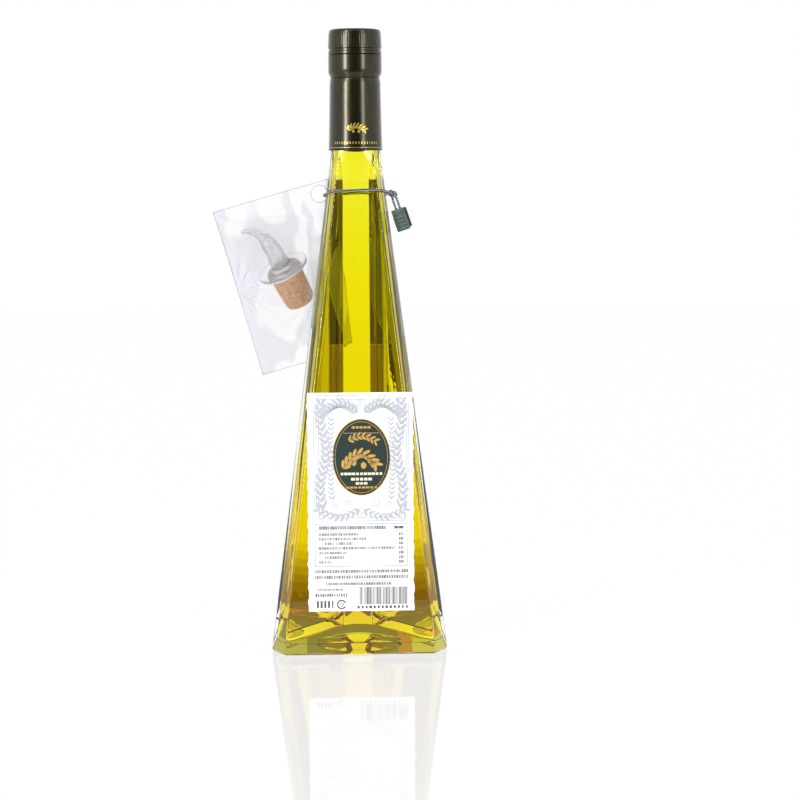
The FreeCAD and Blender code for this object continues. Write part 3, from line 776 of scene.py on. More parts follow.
def bar_tree():
    """A row of bars of uneven width, as printed words or a strip of plain stripes look."""
    tree, given = new_tree("bar_row", [
        ("Bars", "Int"), ("Pitch", "Float"), ("Narrow", "Float"), ("Wide", "Float"), ("Height", "Float"),
        ("Thickness", "Float"), ("Seed", "Int"), ("Ink", "Material"),
    ])
    step = add_node(tree, "ShaderNodeCombineXYZ", {"X": given["Pitch"]})
    row = add_node(tree, "GeometryNodeMeshLine", {"Count": given["Bars"], "Offset": step.outputs[0]})
    width = add_node(tree, "FunctionNodeRandomValue", {
        2: given["Narrow"], 3: given["Wide"], "Seed": given["Seed"],
    }, data_type="FLOAT")
    size_of = add_node(tree, "ShaderNodeCombineXYZ", {
        "X": width.outputs[1], "Y": given["Height"], "Z": given["Thickness"],
    })
    block = add_node(tree, "GeometryNodeMeshCube", {"Size": (1, 1, 1)})
    bars = add_node(tree, "GeometryNodeInstanceOnPoints", {
        "Points": row.outputs[0], "Instance": block.outputs[0], "Scale": size_of.outputs[0],
    })
    real = add_node(tree, "GeometryNodeRealizeInstances", {0: bars.outputs[0]})
    inked = add_node(tree, "GeometryNodeSetMaterial", {0: real.outputs[0], "Material": given["Ink"]})
    add_node(tree, "NodeGroupOutput", {0: inked.outputs[0]})
    return tree


SPRIG, BAR_ROW = leaf_tree(), bar_tree()
INK_THICK, INK_STEP = 0.03, 0.003


def line_mesh(points):
    mesh = bpy.data.meshes.new("line")
    edges = [(i, i + 1) for i in range(len(points) - 1)]
    mesh.from_pydata([Vector((p[0], p[1], 0)) * MM for p in points], edges, [])
    return mesh


def sprig(points, leaves, length, width, ink, spread=32, stem=0.25):
    return grow("sprig", SPRIG, {
        "Leaves": leaves, "Leaf Length": length * MM, "Leaf Width": width * MM,
        "Spread": math.radians(spread), "Stem Width": stem * MM, "Thickness": INK_THICK * MM, "Ink": ink,
    }, line_mesh(points))


def bars(left, right, middle, height, count, fill, seed, ink):
    """A row of bars from left to right; fill is the least and the most of each pitch that ink covers."""
    pitch = (right - left) / count
    row = grow("bars", BAR_ROW, {
        "Bars": count, "Pitch": pitch * MM, "Narrow": pitch * fill[0] * MM, "Wide": pitch * fill[1] * MM,
        "Height": height * MM, "Thickness": INK_THICK * MM, "Seed": seed, "Ink": ink,
    })
    row.data.transform(Matrix.Translation(Vector((left + pitch / 2, middle, INK_THICK / 2)) * MM))
    return row


def plate(outline, ink, thick=INK_THICK, base=0.0):
    """A flat printed shape with a little thickness."""
    count = len(outline)
    vertices = [(p[0], p[1], base + z) for z in (0, thick) for p in outline]
    faces = [tuple(range(count))[::-1], tuple(range(count, 2 * count))]
    faces += [(j, (j + 1) % count, (j + 1) % count + count, j + count) for j in range(count)]
    return new_piece("plate", vertices, faces, ink, smooth=False)


def bar(left, low, right, high, ink, thick=INK_THICK, base=0.0):
    return plate([(left, low), (right, low), (right, high), (left, high)], ink, thick, base)


def frame_line(left, low, right, high, width, ink):
    return [bar(left, low, right, low + width, ink), bar(left, high - width, right, high, ink),
            bar(left, low + width, left + width, high - width, ink),
            bar(right - width, low + width, right, high - width, ink)]


def oval(middle, half_wide, half_high, steps=72):
    return [(middle[0] + half_wide * math.cos(2 * math.pi * i / steps),
             middle[1] + half_high * math.sin(2 * math.pi * i / steps)) for i in range(steps)]


def hoop(middle, half_wide, half_high, width, ink, start=0.0, stop=360.0, steps=72, base=0.0):
    """A flat band that follows an oval, whole or in part."""
    whole = stop - start >= 360
    turns = [math.radians(start + (stop - start) * i / steps) for i in range(steps + (not whole))]
    vertices = []
    for turn in turns:
        for inset in (width, 0.0):
            x = middle[0] + (half_wide - inset) * math.cos(turn)
            y = middle[1] + (half_high - inset) * math.sin(turn)
            vertices += [(x, y, base), (x, y, base + INK_THICK)]
    count, faces = len(turns), []
    for i in range(count if whole else count - 1):
        a, b = 4 * i, 4 * ((i + 1) % count)
        faces += [(a + 1, a + 3, b + 3, b + 1), (a, b, b + 2, a + 2)]
        faces += [(a, a + 1, b + 1, b), (a + 2, b + 2, b + 3, a + 3)]
    if not whole:
        end = 4 * (count - 1)
        faces += [(0, 2, 3, 1), (end, end + 1, end + 3, end + 2)]
    return new_piece("hoop", vertices, faces, ink, smooth=False)


# ---- the label -------------------------------------------------------------------

LABEL_WIDTH, LABEL_HEIGHT, LABEL_BOTTOM, LABEL_SIDE = 59.4, 123.0, 25.0, 0.9
LABEL_PAPER, LABEL_GAP, LABEL_RIPPLE = 0.2, 0.05, 0.45
RIPPLE_WAVES = ((11, 0.45, 1.0), (17, 0.3, 2.6), (29, 0.25, 4.1))
OVAL = (0.6, 86.6)
OVAL_WIDE, OVAL_HIGH = 16.0, 21.2


def ripple(share, seed):
    """The torn look of a deckled edge, from -1 to 1, for a share of the edge's length."""
    turns = 2 * math.pi * share
    return sum(part * math.sin(turns * count + seed * lag) for count, part, lag in RIPPLE_WAVES)


def on_label():
    """From the label's own plane, x across, y up and z off the paper, to its place on the sloping face."""
    front = -(BASE_FACE - math.tan(FACE_LEAN) * LABEL_BOTTOM) - LABEL_GAP / math.cos(FACE_LEAN)
    place = Matrix.Translation(Vector((LABEL_SIDE, front, LABEL_BOTTOM)) * MM)
    return place @ Matrix.Rotation(math.radians(90) - FACE_LEAN, 4, "X")


def make_label():
    half, steps = LABEL_WIDTH / 2, 180
    rows = []
    for i in range(steps + 1):
        share = i / steps
        rows.append((half + LABEL_RIPPLE * ripple(share, 1.0), -half + LABEL_RIPPLE * ripple(share, 2.3),
                     LABEL_HEIGHT * share))
    rings = [[(left, y, 0), (right, y, 0), (right, y, LABEL_PAPER), (left, y, LABEL_PAPER)]
             for right, left, y in rows]
    vertices, faces = skin(rings)
    last = 4 * steps
    faces += [(3, 2, 1, 0), (last, last + 1, last + 2, last + 3)]
    paper = new_piece("label_paper_sheet", vertices, faces, PAPER, smooth=False)
    paper.data.flip_normals()
    paper.data.transform(on_label())
    ride(paper, "label_paper", "label")


SCROLL_STEPS, SCROLL_WINDING = 14, 0.7
# The curls at one side of the oval: place from its middle line, radius, first direction and turn.
SCROLLS = ((21.5, 118, 3.0, 200, 420), (12, 119.5, 2.2, 10, 400), (23, 53.6, 2.6, 90, 430),
           (8, 61.5, 2.4, 190, 400), (15, 60, 1.8, 0, 380))


def scroll(x, y, radius, start, turn):
    """A curl of thinning ribbon, as points for a stem."""
    points = []
    for i in range(SCROLL_STEPS + 1):
        share = i / SCROLL_STEPS
        reach, angle = radius * (1 - SCROLL_WINDING * share), math.radians(start + turn * share)
        points.append((x + reach * math.cos(angle), y + reach * math.sin(angle)))
    return points


def grey_ornament():
    """Pale laurel and scroll work round the oval, in no maker's layout."""
    parts = []
    for side in (1, -1):
        def at(points):
            return [(OVAL[0] + side * x, y) for x, y in points]
        climb = [(21.5 + 1.6 * math.sin(i * 0.5), 58 + i * 3.4) for i in range(18)]
        parts.append(sprig(at(climb), 17, 5.4, 1.9, GREY_INK))
        inner = [(17.5 - 0.0016 * (y - 86) ** 2, y) for y in range(63, 111, 4)]
        parts.append(sprig(at(inner), 18, 3.0, 1.1, GREY_INK, 40, 0.2))
        crest = [(2 + i * 2.1, 112 + 4.6 * math.sin(math.pi * i / 9)) for i in range(10)]
        parts.append(sprig(at(crest), 10, 4.6, 1.9, GREY_INK, 38))
        swag = [(1.5 + i * 2.2, 57 - 4.0 * math.sin(math.pi * i / 10)) for i in range(11)]
        parts.append(sprig(at(swag), 9, 4.0, 1.5, GREY_INK, 34))
        for curl in SCROLLS:
            parts.append(sprig(at(scroll(*curl)), 2, 0.3, 0.2, GREY_INK, 50, 0.5))
        for x in (25.2, 26.4):
            left, right = sorted((OVAL[0] + side * x, OVAL[0] + side * (x + 0.5)))
            parts.append(bar(left, 55.5, right, 117.5, GREY_INK))
    parts += frame_line(OVAL[0] - 24.2, 52.4, OVAL[0] + 24.2, 119.4, 0.45, GREY_INK)
    for y in (121.2, 50.6):
        parts.append(bar(OVAL[0] - 24.5, y, OVAL[0] + 24.5, y + 0.45, GREY_INK))
    for radius in (2.4, 1.5, 0.7):
        parts.append(hoop((OVAL[0], 117.2), radius, radius, 0.4, GREY_INK, steps=28))
        parts.append(hoop((OVAL[0], 55.2), radius * 1.3, radius * 1.3, 0.45, GREY_INK, steps=28))
    # Where parts cross, each lies a little above the one before it.
    for number, part in enumerate(parts):
        part.data.transform(Matrix.Translation((0, 0, INK_STEP * number * MM)))
    return parts


# The table of values: where its rows of plain bars end, which start further in, and its rows' heights.
TABLE_ROW_ENDS, TABLE_INSET_ROWS = (-1.5, 3.0, -4.5, 19.0, -8.5, -9.5, -17.0), (2, 5)
TABLE_TOP_ROW, TABLE_ROW_PITCH, LETTER_PITCH = 43.3, 2.6, 0.9
# The rows below the table: height, left, right, letter height, bars and seed.
SMALL_LINES = ((22.4, -26, 26.5, 1.8, 58, 41), (19.2, -26, 26.5, 1.9, 56, 42), (15.4, -20, 17, 1.6, 40, 43),
               (12.2, -24.5, -10, 1.1, 16, 44), (9.1, -26, -7.8, 1.7, 14, 45))
# How far the print on the oval lies above the paper.
ON_OVAL = 0.04


def make_print():
    """The print as thin shapes: laurel work, an oval with an olive branch, and rows of plain bars."""
    grey = grey_ornament()
    dark = frame_line(-25.9, 25.2, 26.1, 49.3, 0.25, DARK_INK)
    dark.append(bar(-25.9, 44.9, 26.1, 45.1, DARK_INK))
    dark.append(bars(-23.5, 14.5, 47.0, 2.0, 40, (0.45, 0.8), 3, DARK_INK))
    dark.append(bars(18.5, 24.0, 47.0, 1.5, 2, (0.7, 0.95), 5, DARK_INK))
    for row, end in enumerate(TABLE_ROW_ENDS):
        y = TABLE_TOP_ROW - TABLE_ROW_PITCH * row
        start = -20.5 if row in TABLE_INSET_ROWS else -24.0
        count = max(4, round((end - start) / LETTER_PITCH))
        dark.append(bars(start, end, y, 1.6, count, (0.35, 0.75), 11 + row, DARK_INK))
        dark.append(bars(end + 0.5, 20.5, y - 0.55, 0.12, 1, (1.0, 1.0), 1, DARK_INK))
        dark.append(bars(21.2, 24.0, y, 1.6, 3, (0.5, 0.8), 31 + row, DARK_INK))
    for y, left, right, height, count, seed in SMALL_LINES:
        dark.append(bars(left, right, y, height, count, (0.4, 0.78), seed, DARK_INK))
    dark.append(bar(-26, 17.0, 26.5, 17.2, DARK_INK))
    dark.append(bars(-1.2, 26.6, 8.6, 9.9, 34, (0.25, 0.8), 51, DARK_INK))
    dark.append(bars(-2.8, 26.6, 2.2, 1.5, 13, (0.45, 0.75), 52, DARK_INK))
    dark.append(bars(-25.6, -15.2, 3.9, 4.0, 5, (0.35, 0.62), 53, DARK_INK))
    dark.append(hoop((-11.2, 3.8), 2.7, 2.7, 0.8, DARK_INK, 20, 330, 40))
    dark.append(hoop((-11.2, 3.8), 1.2, 1.2, 0.4, DARK_INK, steps=24))
    green = [plate(oval(OVAL, OVAL_WIDE, OVAL_HIGH), GREEN_INK, INK_THICK, 0.01)]
    cream = [hoop(OVAL, OVAL_WIDE + 0.9, OVAL_HIGH + 0.9, 0.35, CREAM_INK)]
    gold = [hoop(OVAL, OVAL_WIDE + 0.35, OVAL_HIGH + 0.35, 0.45, GOLD_INK, base=0.01),
            hoop(OVAL, OVAL_WIDE - 1.1, OVAL_HIGH - 1.1, 0.25, GOLD_INK, base=0.04)]
    branch = [(OVAL[0] - 10.5 + i * 1.8, 80.5 + 8 * math.sin(0.28 * i)) for i in range(11)]
    twig = [(OVAL[0] - 7 + i * 1.6, 96 + 2.5 * math.sin(0.35 * i)) for i in range(10)]
    emblem = [sprig(branch, 9, 4.8, 1.9, GOLD_INK, 36, 0.5), sprig(twig, 7, 3.4, 1.2, GOLD_INK, 40, 0.3)]
    for x, y, radius in ((-4.2, 83.4, 1.7), (1.2, 82.0, 1.9), (5.6, 83.6, 1.6)):
        emblem.append(plate(oval((OVAL[0] + x, y), radius * 0.8, radius, 24), GOLD_INK))
    words = [bars(OVAL[0] - 5.5, OVAL[0] + 5.5, 103.4, 1.3, 5, (0.6, 0.9), 61, GOLD_INK),
             bars(OVAL[0] - 10, OVAL[0] + 10, 100.2, 0.3, 1, (1, 1), 1, GOLD_INK),
             bars(OVAL[0] - 9, OVAL[0] + 9, 69.6, 1.1, 8, (0.6, 0.9), 62, GOLD_INK)]
    pale = [bars(OVAL[0] - 12, OVAL[0] + 12, 77.3, 1.4, 11, (0.6, 0.92), 63, CREAM_INK),
            bars(OVAL[0] - 6, OVAL[0] + 6, 74.3, 1.5, 5, (0.6, 0.92), 64, CREAM_INK),
            bars(OVAL[0] - 3.4, OVAL[0] + 3.4, 71.9, 1.3, 3, (0.6, 0.92), 65, CREAM_INK)]
    for piece in emblem + words + pale:
        piece.data.transform(Matrix.Translation((0, 0, ON_OVAL * MM)))
    place = on_label() @ Matrix.Translation((0, 0, LABEL_PAPER * MM))
    for name, parts in (("label_ornament", grey), ("label_lines", dark), ("label_oval", green),
                        ("label_gold", gold + emblem + words), ("label_cream", cream + pale)):
        piece = join(name, parts)
        piece.data.transform(place)
        ride(piece, "label_paper")


def make_sleeve_print():
    """A small gold olive sprig and a ring line, wrapped on the sleeve."""
    twig = [(-5 + i * 1.1, 13.5 - 0.09 * (i - 4.5) ** 2) for i in range(10)]
    parts = [sprig(twig, 7, 2.6, 0.95, GOLD, 40, 0.3)]
    parts += [plate(oval((x, 10.6), 0.75, 0.95, 20), GOLD) for x in (-1.5, 1.6)]
    parts += [bars(-14, 14, 4.2, 1.3, 17, (0.25, 0.5), 71, GOLD)]
    band = bars(-47, 47, 1.6, 0.28, 120, (1.02, 1.02), 1, GOLD)
    piece = join("sleeve_gold_print", parts + [band])
    for vertex in piece.data.vertices:
        x, y, z = vertex.co / MM
        radius = sleeve_radius((y - 0.3) / SLEEVE_RISE) + z + 0.02
        turn = x / SLEEVE_FOOT_RADIUS - math.pi / 2
        vertex.co = Vector((radius * math.cos(turn), radius * math.sin(turn), SLEEVE_LOW + y)) * MM
    ride(piece, "lacquered_aluminium")


# ---- the cord, its knot and seal ---------------------------------------------------

PLY_RADIUS, PLY_PITCH, THREAD_COUNT = 0.48, 3.6, 2
KNOT_PLY_RADIUS, STRAND_PLY_RADIUS = 0.45, 0.38
# How far a ply's middle lies from the twine's, as a share of its radius, and the step along it in mm.
PLY_SPREAD, PLY_STEP = 0.85, 0.2
# Clouds of loose fibre in a millimetre of twine.
FUZZ_PER_MM = 0.9
# The knot: points, tilt, middle and swing of its ring, rise of its turns, and its share of its full box.
KNOT_STEPS, KNOT_TILT = 150, math.radians(20)
KNOT_RING, KNOT_SWING, KNOT_RISE, KNOT_SHARE = 0.62, 0.34, 0.62, 0.78


def cord_fibre():
    """Two-ply waxed cotton twine: dark green-black threads; the pale grey on the turns of the twist is
    painted highlight.
    """
    material, tree = new_material("waxed_cotton_twine")
    thread = add_node(tree, "ShaderNodeAttribute", attribute_name="thread").outputs["Fac"]
    wave = add_node(tree, "ShaderNodeMath", {0: thread, 1: 2 * math.pi}, operation="MULTIPLY")
    wave = add_node(tree, "ShaderNodeMath", {0: wave.outputs[0]}, operation="SINE")
    place = add_node(tree, "ShaderNodeTexCoord").outputs["Object"]
    fuzz = add_node(tree, "ShaderNodeTexNoise", {"Vector": place, "Scale": FUZZ_PER_MM / MM, "Detail": 3.0})
    mixed = add_node(tree, "ShaderNodeMath", {0: wave.outputs[0], 1: fuzz.outputs[0]}, operation="MULTIPLY")
    share = add_node(tree, "ShaderNodeMapRange", {
        "Value": mixed.outputs[0], "From Min": 0.0, "From Max": 0.2,
    })
    # The pale grey is painted highlight along the thread turns, broken up by the fuzz noise.
    mix = add_node(tree, "ShaderNodeMix", {
        "Factor": share.outputs[0], 6: linear("#0C1110"), 7: linear("#AEB4B4"),
    }, data_type="RGBA")
    bump = add_node(tree, "ShaderNodeBump", {"Height": wave.outputs[0], "Strength": 0.5, "Distance": 0.0001})
    shader = add_node(tree, "ShaderNodeBsdfPrincipled", {
        "Base Color": mix.outputs[2], "Roughness": 0.6, "Normal": bump.outputs[0], "Specular IOR Level": 0.2,
    })
    finish_material(tree, shader.outputs[0])
    return material


def ply_tree():
    """One ply of a twisted cord: it winds round the line that it is given."""
    tree, given = new_tree("twisted_ply", [
        ("Radius", "Float"), ("Offset", "Float"), ("Pitch", "Float"), ("Start Turn", "Float"),
        ("Threads", "Float"), ("Step", "Float"), ("Fibre", "Material"),
    ])
    line = add_node(tree, "GeometryNodeMeshToCurve", {0: given["Geometry"]})
    even = add_node(tree, "GeometryNodeResampleCurve", {
        "Curve": line.outputs[0], "Length": given["Step"],
    }, mode="LENGTH")
    along = add_node(tree, "GeometryNodeSplineParameter").outputs["Length"]
    turns = add_node(tree, "ShaderNodeMath", {0: along, 1: given["Pitch"]}, operation="DIVIDE")
    angle = add_node(tree, "ShaderNodeMath", {0: turns.outputs[0], 1: 2 * math.pi}, operation="MULTIPLY")
    angle = add_node(tree, "ShaderNodeMath", {0: angle.outputs[0], 1: given["Start Turn"]}, operation="ADD")
    normal = tree.nodes.new("GeometryNodeInputNormal").outputs[0]
    tangent = tree.nodes.new("GeometryNodeInputTangent").outputs[0]
    side = add_node(tree, "ShaderNodeVectorMath", {0: tangent, 1: normal}, operation="CROSS_PRODUCT")
    moved = []
    for operation, axis in (("COSINE", normal), ("SINE", side.outputs[0])):
        part = add_node(tree, "ShaderNodeMath", {0: angle.outputs[0]}, operation=operation)
        part = add_node(tree, "ShaderNodeMath", {0: part.outputs[0], 1: given["Offset"]},
                        operation="MULTIPLY")
        part = add_node(tree, "ShaderNodeVectorMath", {0: axis, "Scale": part.outputs[0]},
                        operation="SCALE")
        moved.append(part.outputs[0])
    shift = add_node(tree, "ShaderNodeVectorMath", {0: moved[0], 1: moved[1]}, operation="ADD")
    wound = add_node(tree, "GeometryNodeSetPosition", {
        "Geometry": even.outputs[0], "Offset": shift.outputs[0],
    })
    kept = add_node(tree, "GeometryNodeStoreNamedAttribute", {
        "Geometry": wound.outputs[0], "Name": "along", "Value": turns.outputs[0],
    }, data_type="FLOAT", domain="POINT")
    ring = add_node(tree, "GeometryNodeCurvePrimitiveCircle", {"Resolution": 10, "Radius": given["Radius"]})
    round_share = add_node(tree, "GeometryNodeSplineParameter").outputs["Factor"]
    ring = add_node(tree, "GeometryNodeStoreNamedAttribute", {
        "Geometry": ring.outputs[0], "Name": "around", "Value": round_share,
    }, data_type="FLOAT", domain="POINT")
    tube = add_node(tree, "GeometryNodeCurveToMesh", {
        "Curve": kept.outputs[0], "Profile Curve": ring.outputs[0], "Fill Caps": True,
    })
    read = [add_node(tree, "GeometryNodeInputNamedAttribute", {"Name": name}, data_type="FLOAT").outputs[0]
            for name in ("along", "around")]
    twist = add_node(tree, "ShaderNodeMath", {0: read[0], 1: given["Threads"]}, operation="MULTIPLY")
    lie = add_node(tree, "ShaderNodeMath", {0: read[1], 1: 2.0}, operation="MULTIPLY")
    thread = add_node(tree, "ShaderNodeMath", {0: twist.outputs[0], 1: lie.outputs[0]}, operation="ADD")
    marked = add_node(tree, "GeometryNodeStoreNamedAttribute", {
        "Geometry": tube.outputs[0], "Name": "thread", "Value": thread.outputs[0],
    }, data_type="FLOAT", domain="POINT")
    fibre = add_node(tree, "GeometryNodeSetMaterial", {0: marked.outputs[0], "Material": given["Fibre"]})
    smooth = add_node(tree, "GeometryNodeSetShadeSmooth", {0: fibre.outputs[0]})
    real = add_node(tree, "GeometryNodeRealizeInstances", {0: smooth.outputs[0]})
    add_node(tree, "NodeGroupOutput", {0: real.outputs[0]})
    return tree


FIBRE, PLY = cord_fibre(), ply_tree()


def nurbs_line(points):
    """Points read from the smooth line that a route's points control, in metres."""
    data = bpy.data.curves.new("route", "CURVE")
    data.dimensions, data.resolution_u = "3D", 24
    spline = data.splines.new("NURBS")
    spline.points.add(len(points) - 1)
    for target, point in zip(spline.points, points):
        target.co = (*(Vector(point) * MM), 1)
    spline.order_u, spline.use_endpoint_u = 3, True
    holder = bpy.data.objects.new("route", data)
    bpy.context.collection.objects.link(holder)
    graph = bpy.context.evaluated_depsgraph_get()
    mesh = bpy.data.meshes.new_from_object(holder.evaluated_get(graph), depsgraph=graph)
    line = [vertex.co.copy() for vertex in mesh.vertices]
    bpy.data.meshes.remove(mesh)
    bpy.data.objects.remove(holder)
    return line


def twine(name, line, radius=PLY_RADIUS):
    """Two plies wound round a line of points in metres."""
    plies = []
    for start in (0.0, math.pi):
        base = bpy.data.meshes.new("line")
        base.from_pydata(line, [(i, i + 1) for i in range(len(line) - 1)], [])
        plies.append(grow(name, PLY, {
            "Radius": radius * MM, "Offset": radius * PLY_SPREAD * MM, "Pitch": PLY_PITCH * MM,
            "Start Turn": start, "Threads": float(THREAD_COUNT), "Step": PLY_STEP * MM, "Fibre": FIBRE,
        }, base))
    return join(name, plies)


def seal_place():
    tilt = Matrix.Rotation(math.radians(-SEAL_TILT), 4, "Y")
    yaw = Matrix.Rotation(math.radians(-SEAL_YAW), 4, "Z")
    return Matrix.Translation(SEAL_TOP * MM) @ tilt @ yaw


def make_knot():
    """A tight overhand knot: a short length wound three times over itself."""
    tilt = Matrix.Rotation(KNOT_TILT, 4, "Y")
    line = []
    for i in range(KNOT_STEPS):
        turn = 2 * math.pi * i / KNOT_STEPS
        ring = KNOT_RING + KNOT_SWING * math.cos(3 * turn)
        x, y = ring * math.cos(2 * turn) * KNOT_SIZE.x / 2, ring * math.sin(2 * turn) * KNOT_SIZE.y / 2
        point = Vector((x, y, KNOT_RISE * math.sin(3 * turn) * KNOT_SIZE.z / 2)) * KNOT_SHARE
        line.append((tilt @ point + KNOT_MIDDLE) * MM)
    return twine("cord_knot_wound", line, KNOT_PLY_RADIUS)


def make_cord():
    line = nurbs_line(CORD_ROUTE)
    loop = twine("neck_cord_twine", line)
    knot = ride(make_knot(), "twisted_cord", "cord_knot")
    for side, name, node in ((-1, "seal_strand_left", "seal_cord_left"),
                             (1, "seal_strand_right", "seal_cord_right")):
        across = side * STRAND_SPACING / 2
        route = [Vector((across, 0, -0.6)), Vector((across + 0.25 * side, 0.1, STRAND_LENGTH * 0.45)),
                 Vector((across * 0.8, 0, STRAND_LENGTH))]
        ends = nurbs_line([seal_place() @ (point * MM) / MM for point in route])
        ride(twine(name, ends, STRAND_PLY_RADIUS), "twisted_cord", node)
    seal = make_seal()
    ride(loop, "twisted_cord", "neck_cord")


def block(name, low, high, bevel, material, segments=2):
    """A moulded block with rounded edges between two corners, in the seal's own frame."""
    mesh = bmesh.new()
    bmesh.ops.create_cube(mesh, size=1.0)
    low, high = Vector(low), Vector(high)
    for vertex in mesh.verts:
        vertex.co = Vector([l + (h - l) * (c + 0.5) for l, h, c in zip(low, high, vertex.co)]) * MM
    bmesh.ops.bevel(mesh, geom=mesh.edges[:], offset=bevel * MM, segments=segments, affect="EDGES",
                    profile=0.5)
    data = bpy.data.meshes.new(name)
    mesh.to_mesh(data)
    mesh.free()
    data.materials.append(material)
    piece = bpy.data.objects.new(name, data)
    bpy.context.collection.objects.link(piece)
    soften(piece, CRISP_ANGLE)
    return piece


# Drops from the seal's top to its grooves' middles, half a groove's width, and the front's roundings.
SEAL_GROOVES, GROOVE_HALF = (4.0, 6.0, 8.0, 10.0), 0.45
SHELL_ROUND, RIB_ROUND, RAIL_ROUND = 0.5, 0.28, 0.22


def make_seal():
    """A small two-part lock: a grey-green front shell with four finger grooves and a dark plate behind."""
    half, deep, tall = SEAL_WIDTH / 2, SEAL_DEPTH / 2, SEAL_HEIGHT
    shell = [block("seal", (-half, -deep + 0.35, -tall), (half, 0.9, 0), SHELL_ROUND, SEAL_FRONT)]
    edges = [0.0, *SEAL_GROOVES, tall]
    for top, foot in zip(edges, edges[1:]):
        gap_top, gap_foot = (GROOVE_HALF if top else 0.0), (GROOVE_HALF if foot < tall else 0.0)
        low, high = (-half + 0.15, -deep, -foot + gap_foot), (half - 0.15, -deep + 0.9, -top - gap_top)
        shell.append(block("rib", low, high, RIB_ROUND, SEAL_FRONT))
    for side in (-1, 1):
        low, high = (side * half - 0.5, -deep, -tall + 0.1), (side * half + 0.5, -deep + 1.2, -3.6)
        shell.append(block("rail", low, high, RAIL_ROUND, SEAL_FRONT))
    front = join("seal_front_shell", shell)
    plate_behind = join("seal_back_plate", [
        block("plate", (-half + 0.1, 1.1, -tall + 0.9), (half + 0.35, deep, -0.3), 0.35, SEAL_BACK),
        block("web", (-half + 0.6, 0.7, -tall + 1.6), (half - 0.3, 1.3, -1.0), 0.2, SEAL_BACK),
    ])
    for piece in (front, plate_behind):
        keep_inside(piece, half)
        piece.data.transform(seal_place())
    ride(front, "seal_plastic", "cord_seal")
    ride(plate_behind, "seal_plastic", "cord_seal")
    return [front, plate_behind]


def keep_inside(piece, half):
    """Holds the moulding within the seal's own width."""
    for vertex in piece.data.vertices:
        vertex.co.x = max(-half * MM, min((half + 0.35) * MM, vertex.co.x))


# ---- the bag and its pourer ----------------------------------------------------------

BAG_CORNER = Vector((-80.6, 0, 248.5))
BAG_WIDTH, BAG_HEIGHT, BAG_TILT, BAG_EDGE, BAG_BULGE = 72.0, 97.0, math.radians(16), 0.6, 30.0
BAG_BEND_TOP, BAG_BEND_FOOT, BAG_BEND_RADIUS, BAG_BEND_ANGLE = 61.5, 30.0, 8.0, math.radians(60)
BAG_DEPTH_TOP, BAG_DEPTH_FOOT, BAG_DEPTH_RUN = -4.0, 5.0, 40.0
BAG_BULGE_ACROSS, BAG_BULGE_DOWN, BAG_BULGE_WIDE, BAG_BULGE_TALL = 28.5, 44.0, 11.0, 17.0
BAG_HOLE_RADIUS, BAG_HOLE_ACROSS, BAG_HOLE_DOWN = 4.6, 60.5, 7.0
BAG_COLUMNS, BAG_ROWS = 90, 120
# The film fills this share of the bag's bulge by itself, and the pourer pushes it out to the rest.
FILM_SHARE = 0.55
# Crumbs of the cork are 1.25 mm wide; the rest says how many clouds of each pattern stand in a millimetre.
CORK_GRAIN_MM, CORK_SPECKS_PER_MM, MILKY_CLOUDS_PER_MM, FILM_SHEEN_PATCHES_PER_MM = 1.25, 1.1, 0.09, 0.042
# Where folds start, across and down, with their height, reach and number.
BAG_FOLDS = (
    (0.0, 47.0, 1.3, 26.0, 15.0), (34.0, 68.0, 0.8, 24.0, 9.0),
    (0.0, 0.0, 0.8, 40.0, 9.0), (BAG_WIDTH, 30.0, 0.6, 30.0, 8.0),
)
# The folds fade this near their start and this near the seam; a broad swell runs under them.
FOLD_START, FOLD_BORDER, SWELL_HEIGHT, SWELL_ACROSS, SWELL_DOWN = 5.0, 4.0, 0.9, 14, 20

POURER_MIDDLE = Vector((-41.4, 4.0, 216.0))
POURER_AXIS = Vector((-0.406, -0.423, 0.810)).normalized()
CORK_LENGTH, CORK_TOP_RADIUS, CORK_FOOT_RADIUS, CORK_CHAMFER = 23.5, 9.65, 8.65, 1.4
FLANGE_RADIUS, FLANGE_THICK, COLLAR_RADIUS, COLLAR_HEIGHT = 14.85, 1.1, 6.6, 2.4
# The spout's middle line, from the collar to its cut lip, with its radius.
SPOUT = [
    ((-42.6, 2.7, 218.4), 5.6), ((-44.7, 1.4, 222.2), 5.2), ((-48.4, 0.2, 229.3), 4.8),
    ((-51.6, -0.2, 233.2), 3.6), ((-54.8, -0.4, 235.6), 2.7), ((-59.2, -0.5, 237.6), 1.95),
    ((-62.4, -0.7, 237.6), 1.5), ((-64.6, -0.9, 236.8), 1.15),
]
SPOUT_WALL, SPOUT_SIDES, SPOUT_RING_STEP = 0.55, 28, 3


def axis_ring(along, radius, count=64, stretch=None):
    """A ring round the pourer's axis, so far along it from the flange."""
    side = POURER_AXIS.cross(Vector((0, 0, 1))).normalized()
    up = side.cross(POURER_AXIS).normalized()
    ring = []
    for j in range(count):
        turn = 2 * math.pi * j / count
        grown = radius + (stretch(turn) if stretch else 0.0)
        out = side * math.cos(turn) - up * math.sin(turn)
        ring.append(POURER_MIDDLE + POURER_AXIS * along + out * grown)
    return ring


def turned(name, profile, material, stretch=None):
    """A closed piece turned round the pourer's axis, from its foot to its top."""
    rings = [axis_ring(along, radius, stretch=stretch) for along, radius in profile]
    ends = [POURER_MIDDLE + POURER_AXIS * profile[k][0] for k in (0, -1)]
    piece = outward(new_piece(name, *skin(rings, *ends), material))
    soften(piece, CRISP_ANGLE)
    return piece


